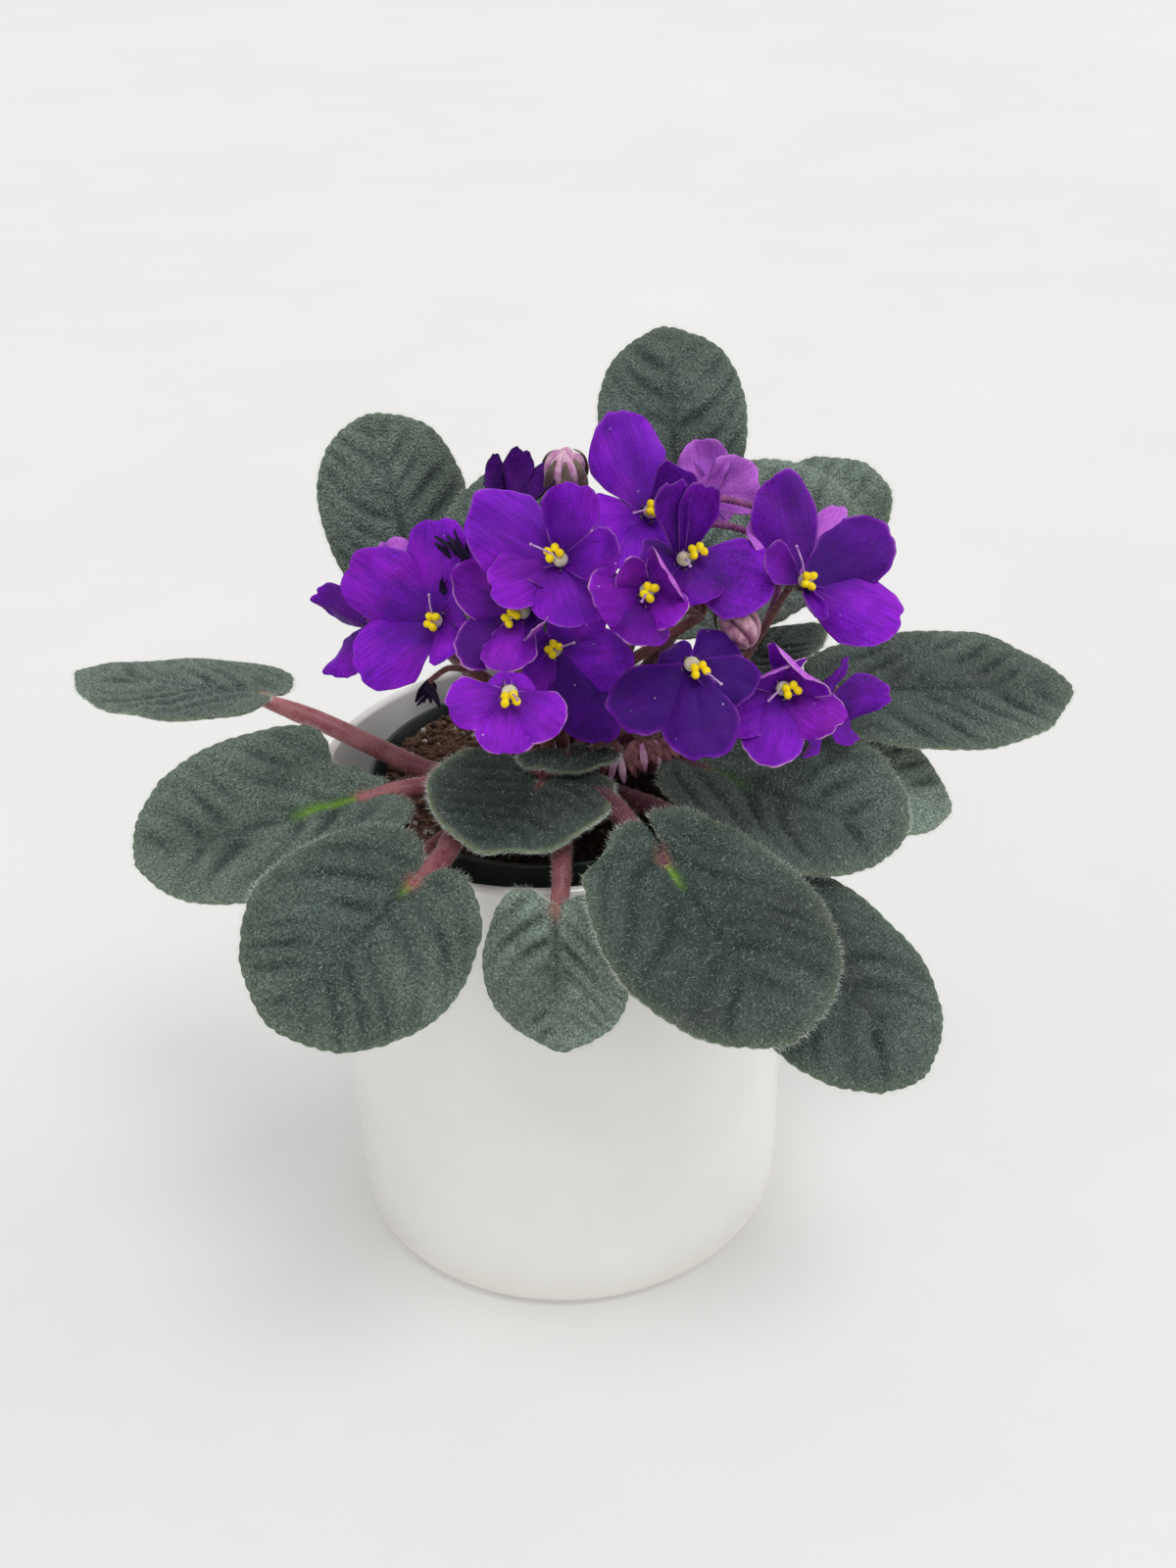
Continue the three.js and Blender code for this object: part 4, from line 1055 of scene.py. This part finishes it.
def stamens(name, bloom):
    """Two paired yellow anthers beside the pale ovary, and the style with its small tip."""
    front, top, right = flower_axes(*bloom.face)
    centre = Vector(bloom.centre)
    across, along, turn = ANTHERS[name]
    whole = bmesh.new()
    whole.verts.layers.float.new("reach")
    ball(whole, centre - front * 0.3, (right, top, front), (1.85, 1.8, 1.7), 1, 16)
    heart = centre + right * across + top * along + front * 1.9
    turn = math.radians(turn)
    row = right * math.cos(turn) + top * math.sin(turn)
    stack = top * math.cos(turn) - right * math.sin(turn)
    for side in (-1, 1):
        for end in (-1, 1):
            inward = 0.35 if end * side > 0 else 0
            at = heart + row * side * 1.15 + stack * end * 0.8 - row * inward
            lean = (stack + row * 0.35 * side * end).normalized()
            ball(whole, at, (lean.cross(front), lean, front), (1.0, 1.12, 0.95), 0)
    for side in (-1, 1):
        middle = heart.lerp(centre, 0.4) + row * side * 0.8
        line = smooth_line([centre, middle, heart + row * side * 0.6], 5)
        gather(whole, grow_tube(line, lambda t: 0.42, 8), 1)
    tip = centre + Vector(STYLES[name])
    bow = centre.lerp(tip, 0.55) + front * 0.9
    line = smooth_line([centre - front * 0.5, bow, tip], 8)
    gather(whole, grow_tube(line, lambda t: 0.27 - 0.05 * t, 8), 2)
    ball(whole, tip, (right, top, front), (0.42, 0.38, 0.38), 2, 10)
    skins = (ANTHER_SKIN, OVARY_SKIN, STYLE_SKIN)
    piece("stamens_" + name, whole, skins, ("anthers_" + name,))


def slim_leaf(bm, foot, way, outward, length, width, material):
    """A narrow pointed sepal that hugs what it covers."""
    made = bmesh.new()
    bmesh.ops.create_uvsphere(made, u_segments=8, v_segments=8, radius=1)
    across = way.cross(outward).normalized()
    for vertex in made.verts:
        t = (vertex.co.z + 1) / 2
        taper = 1 - 0.75 * t ** 1.5
        place = foot + way * t * length + across * vertex.co.x * taper * width / 2
        place += outward * (vertex.co.y * 0.28 * taper - 0.14 * length * (2 * t - 1) ** 2)
        vertex.co = place * MM
    bmesh.ops.recalc_face_normals(made, faces=made.faces)
    gather(bm, made, material)


def seat_of(name):
    """Where a bloom or bud is, its axes, and how far behind it its calyx sits."""
    if name in BLOOMS:
        bloom = BLOOMS[name]
        return Vector(bloom.centre), flower_axes(*bloom.face), 3.7
    centre, face, _, length = BUDS[name]
    return Vector(centre), flower_axes(*face), length + 0.3


def calyx(whole, seat, axes):
    """A small cup with five pointed sepals that stand round the back of a flower."""
    front, top, right = axes
    ball(whole, seat - front * 0.9, (right, top, front), (1.9, 1.9, 1.5), 1, 12)
    for number in range(5):
        turn = 2 * math.pi * (number + 0.5) / 5
        outward = right * math.sin(turn) + top * math.cos(turn)
        way = (front + outward * 0.35).normalized()
        out = (outward - front * 0.35).normalized()
        slim_leaf(whole, seat + outward * 1.3 - front * 1.6, way, out, 5.2, 2.1, 1)


def spray(name, spec, seed):
    """A hairy stem from the crown to its fork, and a thinner one on to each flower."""
    (root_x, root_y), fork, carried = spec
    whole, fuzz = stem_meshes()
    start = Vector((root_x, root_y, 145))
    knee = Vector((root_x, root_y, 158))
    fork = Vector(fork)
    line = smooth_line([start, knee, knee.lerp(fork, 0.6), fork], 8)
    tube = grow_tube(line, lambda t: 1.75 - 0.35 * t, 12, 0.1)
    grow_hairs(fuzz, tube, 420, 1.0, 0.03, 0.5, seed)
    gather(whole, tube, 0)
    for order, item in enumerate(carried):
        centre, axes, back = seat_of(item)
        front = axes[0]
        seat = centre - front * back
        bend = seat - front * 7.2
        line = smooth_line([fork, fork.lerp(bend, 0.6), bend, seat - front * 1.2], 8)
        tube = grow_tube(line, lambda t: 1.0 + 0.35 * max(0, t - 0.85) * 6, 10, 0.08)
        grow_hairs(fuzz, tube, 260, 0.9, 0.028, 0.5, seed * 10 + order)
        gather(whole, tube, 0)
        calyx(whole, seat, axes)
    piece(name + "_tissue", whole, (STEM_SKIN, SEPAL_SKIN), (name,))
    piece(name + "_hairs", fuzz, (ROSE_HAIR,), (), smooth=False)


def loose_shoots(name, hair_name, whole, fuzz, skins):
    """Finishes shoots that the CAD has no node for."""
    piece(name, whole, skins, ())
    piece(hair_name, fuzz, (ROSE_HAIR,), (), smooth=False)


def shoot(whole, fuzz, points, thick, seed):
    """A thin hairy side stem through the given places."""
    line = smooth_line([Vector(point) for point in points], 7)
    tube = grow_tube(line, lambda t: thick * (1 - 0.15 * t), 9, 0.06)
    grow_hairs(fuzz, tube, 40 * len(line), 0.8, 0.022, 0.5, seed)
    gather(whole, tube, 0)


def strap(whole, points, width, material, across=None):
    """A thin curled strip, such as a withered petal or a young sepal."""
    line = smooth_line([Vector(point) for point in points], 6)
    swell = lambda t: max(0.12, width / 2 * math.sin(math.pi * (0.12 + 0.84 * t)) ** 0.7)
    gather(whole, grow_tube(line, swell, 10, 0.1, 0.22, across), material)


def crumple(whole, foot, way, reach, width, count, seed):
    """A tuft of withered straps that curl away from where they grow."""
    foot, way = Vector(foot), Vector(way)
    rng = random.Random(seed)
    for _ in range(count):
        lean = (way + 0.55 * unit_noise(rng)).normalized()
        curl = (way + 1.1 * unit_noise(rng)).normalized()
        middle = foot + lean * reach * 0.45
        tip = middle + (lean + curl).normalized() * reach * rng.uniform(0.35, 0.6)
        bow = foot.lerp(middle, 0.6) + 0.4 * unit_noise(rng)
        strap(whole, (foot, bow, middle, tip), width * rng.uniform(0.6, 1.1), 1)


SEPAL_TURNS = (270, 224, 318, 145, 35)      # round a bud, in degrees
SEPAL_FOOT = -1.08      # of a bud's half length, from its middle
SEPAL_TIPS = {"bud_upper": 0.9, "bud_hanging": -0.05}


def bud(name, spec, skin):
    """A closed bud: its five folded petals show as lobes that lap over and meet at the tip."""
    centre, face, radius, length = spec
    centre = Vector(centre)
    front, top, right = flower_axes(*face)
    bm = bmesh.new()
    bmesh.ops.create_uvsphere(bm, u_segments=60, v_segments=30, radius=1)
    fold = bm.verts.layers.float.new("fold")
    for vertex in bm.verts:
        x, y, z = vertex.co
        lap = (math.atan2(y, x) / (2 * math.pi) * 5 + 0.55 * z) % 1
        crease = bell(min(lap, 1 - lap), 0.08) * (1 - z * z) ** 0.3
        puff = 1 + 0.16 * math.sin(math.pi * lap) ** 0.7 - 0.13 * crease
        puff += 0.07 * lap * (z > -0.8)
        shape = puff * (1 + 0.16 * z) * (1 - 0.1 * max(0, z) ** 4)
        place = centre + (right * x + top * y) * radius * shape * 0.95
        tip_lap = 1 - 0.05 * math.cos(2 * math.pi * lap)
        vertex.co = (place + front * z * length * tip_lap) * MM
        # painted shade in the creases between the lobes and towards the foot of the bud
        vertex[fold] = min(1, crease + max(0, 0.3 - 0.5 * z) * 0.5)
    rise = SEPAL_TIPS[name] - SEPAL_FOOT
    for degrees in SEPAL_TURNS:
        turn = math.radians(degrees)
        outward = right * math.cos(turn) + top * math.sin(turn)
        points = []
        for step in range(7):
            z = SEPAL_FOOT + rise * step / 6
            off = radius * 1.24 * math.sqrt(max(0.06, 1 - min(1, z * z))) + 0.42
            points.append(centre + front * z * length + outward * off)
        strap(bm, points, 3.2, 1, front.cross(outward))
    piece("closed_" + name, bm, (skin, SEPAL_SKIN), (name,))


def withered_blooms():
    """Spent blooms on their own stems: two stand by the left blooms, one hangs below them."""
    whole, fuzz = stem_meshes()
    shoot(whole, fuzz, ((-20, -8, 172), (-17, -6, 188), (-18.5, -9, 202)), 0.85, 301)
    crumple(whole, (-18.5, -9, 201), Vector((-0.3, -0.3, 1)).normalized(), 10, 3.4, 7, 302)
    shoot(whole, fuzz, ((-20, -8, 171), (-25, -11, 173), (-30, -12, 170)), 0.85, 303)
    crumple(whole, (-30, -12, 170.5), (-0.1, 0, -1), 7.5, 3.0, 8, 304)
    shoot(whole, fuzz, ((-20, -8, 172), (-22, -8, 186), (-23.5, -10.5, 194)), 0.7, 305)
    crumple(whole, (-23.5, -10.5, 193), (-0.2, -0.2, 0.9), 6, 2.4, 4, 306)
    loose_shoots("withered_blooms", "withered_bloom_hairs", whole, fuzz,
                 (STEM_SKIN, DARK_PETALS[1]))


def young_cluster():
    """The hooked, hairy young buds that rise from the heart of the rosette."""
    whole, fuzz = stem_meshes()
    shoot(whole, fuzz, ((5, -10, 143), (10, -14, 152), (16, -18, 158.5), (21.5, -20, 157.5),
                        (22.5, -20, 153.5)), 1.15, 401)
    shoot(whole, fuzz, ((4, -11, 143), (8.5, -16, 149), (12.5, -20, 155), (16, -21, 154.5),
                        (17, -21, 151)), 1.0, 402)
    shoot(whole, fuzz, ((10, -14, 152), (15, -16, 160), (22, -17, 161.5), (26, -19, 158),
                        (26, -19.5, 154)), 1.0, 403)
    heads = ((22.5, -20, 154.5), (17, -21, 152), (26, -19.5, 154.5))
    for number, (x, y, z) in enumerate(heads):
        for side in range(-2, 3):
            foot = Vector((x + 0.8 * side, y - 0.4, z + 0.8))
            way = Vector((0.36 * side + 0.1, -0.3, -1)).normalized()
            tip = foot + way * (8.4 - 0.8 * abs(side))
            bow = foot.lerp(tip, 0.5) + Vector((0.3 * side, -1.1, 0))
            pink = side == 0 or (side, number) == (-1, 1)
            strap(whole, (foot, bow, tip), 2.0, 1 if pink else 2, Vector((1, 0, 0)))
        core = bmesh.new()
        bmesh.ops.create_uvsphere(core, u_segments=12, v_segments=8, radius=1.6 * MM)
        bmesh.ops.translate(core, vec=Vector((x, y + 1.0, z - 1.5)) * MM, verts=core.verts)
        settle(core)
        grow_hairs(fuzz, core, 50, 0.9, 0.02, 0.6, 410 + number)
        gather(whole, core, 2)
    loose_shoots("young_cluster", "young_cluster_hairs", whole, fuzz,
                 (STEM_SKIN, BUD_PINK, YOUNG_SEPAL))


def spare_calyces():
    """Small empty calyces on short stems, and the two purple stems behind the right blooms."""
    whole, fuzz = stem_meshes()
    shoot(whole, fuzz, ((44, -16, 166), (57, -8, 186), (57, -7, 199), (49, -6, 204.5),
                        (40, -6.5, 207)), 1.0, 501)
    shoot(whole, fuzz, ((10, 4, 190), (28, 4, 202), (36, -2, 211), (44, -4, 212),
                        (54, -7, 210)), 0.95, 502)
    crumple(whole, (40, -6.5, 207), Vector((-1, -0.4, 0.2)).normalized(), 4.6, 1.7, 4, 503)
    crumple(whole, (37, -2.5, 211), Vector((-1, -0.6, 0)).normalized(), 4.6, 1.7, 4, 504)
    crumple(whole, (-14.5, -38.5, 165.5), Vector((-0.4, -0.8, 0.4)).normalized(), 4.6, 1.7, 5, 505)
    crumple(whole, (3, 8, 208.5), Vector((-0.2, -0.2, 1)).normalized(), 4.6, 1.7, 5, 506)
    shoot(whole, fuzz, ((-13, -36, 165), (-14, -37.5, 165.2), (-14.5, -38.5, 165.5)), 1.0, 507)
    shoot(whole, fuzz, ((10, 4, 190), (5, 7, 200), (3, 8, 208.5)), 0.85, 508)
    loose_shoots("spare_calyces", "spare_calyx_hairs", whole, fuzz, (PURPLE_STEM, SEPAL_SKIN))


# ------------------------------------------------------------ pots, soil and floor

SOIL_RADIUS = 44.6
SOIL_LEVEL = 133.2
SOIL_FOOT = 6.2
POT_BORE = 45.0         # inside of the nursery pot, which the mix stays within


def arc(centre, radius, start, end, steps):
    """Places on an arc in a turned profile, by the angle from outward to upward."""
    turns = [math.radians(start + (end - start) * step / steps) for step in range(steps + 1)]
    return [(centre[0] + radius * math.cos(turn), centre[1] + radius * math.sin(turn))
            for turn in turns]


def cachepot():
    """A straight wall with a rounded lip and foot, which stands on a thin bare ring."""
    foot, wide, high, thickness = 61.7, 62.5, 139.2, 3.0
    foot_round, lip_round, ring_top = 5, 1.5, 0.8
    wall_low, wall_high = ring_top + foot_round, high - lip_round
    corner = arc((foot - foot_round, wall_low), foot_round, -90, 0, 8)
    lip = arc((wide - lip_round, wall_high), lip_round, 0, 180, 8)
    wall = [(foot + (wide - foot) * k / 8, wall_low + (wall_high - wall_low) * k / 8)
            for k in range(1, 8)]
    inside = wide - thickness
    profile = [(0, 1.6), (53, 1.6), (54, 0), (56.2, 0)] + corner + wall + lip
    profile += [(inside, 20), (inside - 3, 6), (inside - 12, 4.2), (0, 4)]
    piece("glazed_cachepot", turned(profile, 160), (white_glaze(),), ("cachepot",))


def nursery_pot():
    """A thin tapered pot with a stepped rim band and one drain hole."""
    profile = [(7, 4.3), (36, 4.3), (37, 5), (46.6, 129.4), (48.4, 129.8), (48.7, 130.6),
               (48.95, 136.9), (48.6, 137.7), (47.9, 137.8), (47.5, 137.2), (47.2, 131),
               (45.3, 129), (35.6, 6.4), (34.8, 5.8), (7, 5.8), (7, 4.3)]
    skin = dark_plastic()
    piece("nursery_liner", turned(profile, 128), (skin,), ("nursery_pot",))


def heap(x, y):
    """The mix stands higher against the wall of its pot at the back left."""
    return 2.6 * min(1, math.hypot(x, y) / 44) ** 3 * clamp((0.8 * y - 0.6 * x) / 30)


def strewn(rng, spread):
    """A place drawn at random on the mix, out to a share of its radius."""
    turn, out = rng.uniform(0, 2 * math.pi), SOIL_RADIUS * math.sqrt(rng.random()) * spread
    return out * math.cos(turn), out * math.sin(turn)


def potting_mix():
    """A lumpy heap with crumbs, pale grit and fibres strewn over it."""
    bm = disc_grid(96)
    for vertex in bm.verts:
        x, y = vertex.co.x * SOIL_RADIUS, vertex.co.y * SOIL_RADIUS
        here = Vector((x, y, 3))
        lumps = 0.9 * noise.noise(here * 0.11) + 0.6 * noise.noise(here * 0.4)
        lumps += 0.4 * noise.noise(here * 1.1)
        vertex.co = Vector((x, y, SOIL_LEVEL + heap(x, y) + lumps)) * MM
    rim = [edge for edge in bm.edges if edge.is_boundary]
    grown = bmesh.ops.extrude_edge_only(bm, edges=rim)["geom"]
    for vertex in [item for item in grown if isinstance(item, bmesh.types.BMVert)]:
        vertex.co = Vector((vertex.co.x * 0.78, vertex.co.y * 0.78, SOIL_FOOT * MM))
    bmesh.ops.holes_fill(bm, edges=[edge for edge in bm.edges if edge.is_boundary])
    bmesh.ops.recalc_face_normals(bm, faces=bm.faces)
    settle(bm)
    rng = random.Random(5)
    for _ in range(2600):
        x, y = strewn(rng, 0.985)
        at = Vector((x, y, SOIL_LEVEL + 0.1 + heap(x, y) + rng.uniform(-0.5, 0.9)))
        size = rng.uniform(0.35, 1.25)
        pale = rng.random() < 0.05
        matrix = stand(at * MM, unit_noise(rng), size * MM, size * rng.uniform(0.6, 1.3) * MM)
        CRUMB.put(bm, matrix, 2 if pale else 0)
    for _ in range(1100):
        x, y = strewn(rng, 0.93)
        at = Vector((x, y, SOIL_LEVEL + 0.4 + heap(x, y) + rng.uniform(0, 0.7)))
        way = unit_noise(rng) * Vector((1, 1, 0.22))
        thickness, length = rng.uniform(0.1, 0.22), rng.uniform(2.5, 8)
        HAIR.put(bm, stand(at * MM, way, thickness * MM, length * MM), 1)
    for vertex in bm.verts:
        span = math.hypot(vertex.co.x, vertex.co.y)
        if span > POT_BORE * MM:
            vertex.co.x *= POT_BORE * MM / span
            vertex.co.y *= POT_BORE * MM / span
    piece("potting_mix", bm, (SOIL_SKIN, FIBRE_SKIN, GRIT_SKIN), ("soil",), smooth=False)


def floor():
    bm = bmesh.new()
    bmesh.ops.create_grid(bm, x_segments=8, y_segments=8, size=6)
    bmesh.ops.translate(bm, vec=(0, 2.5, -0.0002), verts=bm.verts)
    mesh = bpy.data.meshes.new("studio_floor")
    bm.to_mesh(mesh)
    bm.free()
    mesh.materials.append(pale_floor())
    made = bpy.data.objects.new("studio_floor", mesh)
    bpy.context.scene.collection.objects.link(made)


# ------------------------------------------------------------ camera and light


CAMERA_PLACE = (0, -0.406, 0.371)
CAMERA_TURN = (1.30, 30.56, -2.03)      # to the right, down, and round the view, in degrees
LENS, SENSOR = 40.5, 36


def camera():
    yaw, pitch, roll = (math.radians(degrees) for degrees in CAMERA_TURN)
    ahead = Vector((math.sin(yaw) * math.cos(pitch), math.cos(yaw) * math.cos(pitch),
                    -math.sin(pitch)))
    level = ahead.cross(Vector((0, 0, 1))).normalized()
    above = level.cross(ahead)
    right = level * math.cos(roll) + above * math.sin(roll)
    up = above * math.cos(roll) - level * math.sin(roll)
    data = bpy.data.cameras.new("studio_camera")
    data.lens = LENS
    data.sensor_width = SENSOR
    data.clip_start = 0.01
    data.clip_end = 50
    made = bpy.data.objects.new("studio_camera", data)
    turn = Matrix((right, up, -ahead)).transposed().to_4x4()
    made.matrix_world = Matrix.Translation(CAMERA_PLACE) @ turn
    bpy.context.scene.collection.objects.link(made)
    bpy.context.scene.camera = made


def soft_sun(name, towards, strength, spread):
    data = bpy.data.lights.new(name, "SUN")
    data.energy = strength
    data.angle = math.radians(spread)
    made = bpy.data.objects.new(name, data)
    made.rotation_euler = (-Vector(towards)).to_track_quat("-Z", "Y").to_euler()
    bpy.context.scene.collection.objects.link(made)


def studio_light():
    world = bpy.data.worlds.new("pale_room")
    world.use_nodes = True
    background = world.node_tree.nodes["Background"]
    background.inputs["Color"].default_value = (1.0, 0.995, 0.985, 1)
    background.inputs["Strength"].default_value = 0.68
    bpy.context.scene.world = world
    soft_sun("key_sun", (0.16, -0.34, 0.92), 0.96, 24)
    soft_sun("side_fill", (0.85, 0.05, 0.5), 0.42, 50)
    view = bpy.context.scene.view_settings
    view.view_transform = "Standard"
    view.look = "None"


# ------------------------------------------------------------ the whole plant

camera()
studio_light()
floor()
cachepot()
nursery_pot()
potting_mix()
rosette_stalks()
for number, (leaf_name, leaf) in enumerate(LEAVES.items()):
    leaf_blade(leaf_name, leaf, number + 1)
for number, (bloom_name, bloom) in enumerate(BLOOMS.items()):
    corolla(bloom_name, bloom, number + 1)
    if bloom_name in STYLES:
        stamens(bloom_name, bloom)
for number, (spray_name, spray_spec) in enumerate(SPRAYS.items()):
    spray(spray_name, spray_spec, number + 1)
bud("bud_upper", BUDS["bud_upper"], BUD_PINK)
bud("bud_hanging", BUDS["bud_hanging"], BUD_MAROON)
withered_blooms()
young_cluster()
spare_calyces()

bpy.context.view_layer.update()
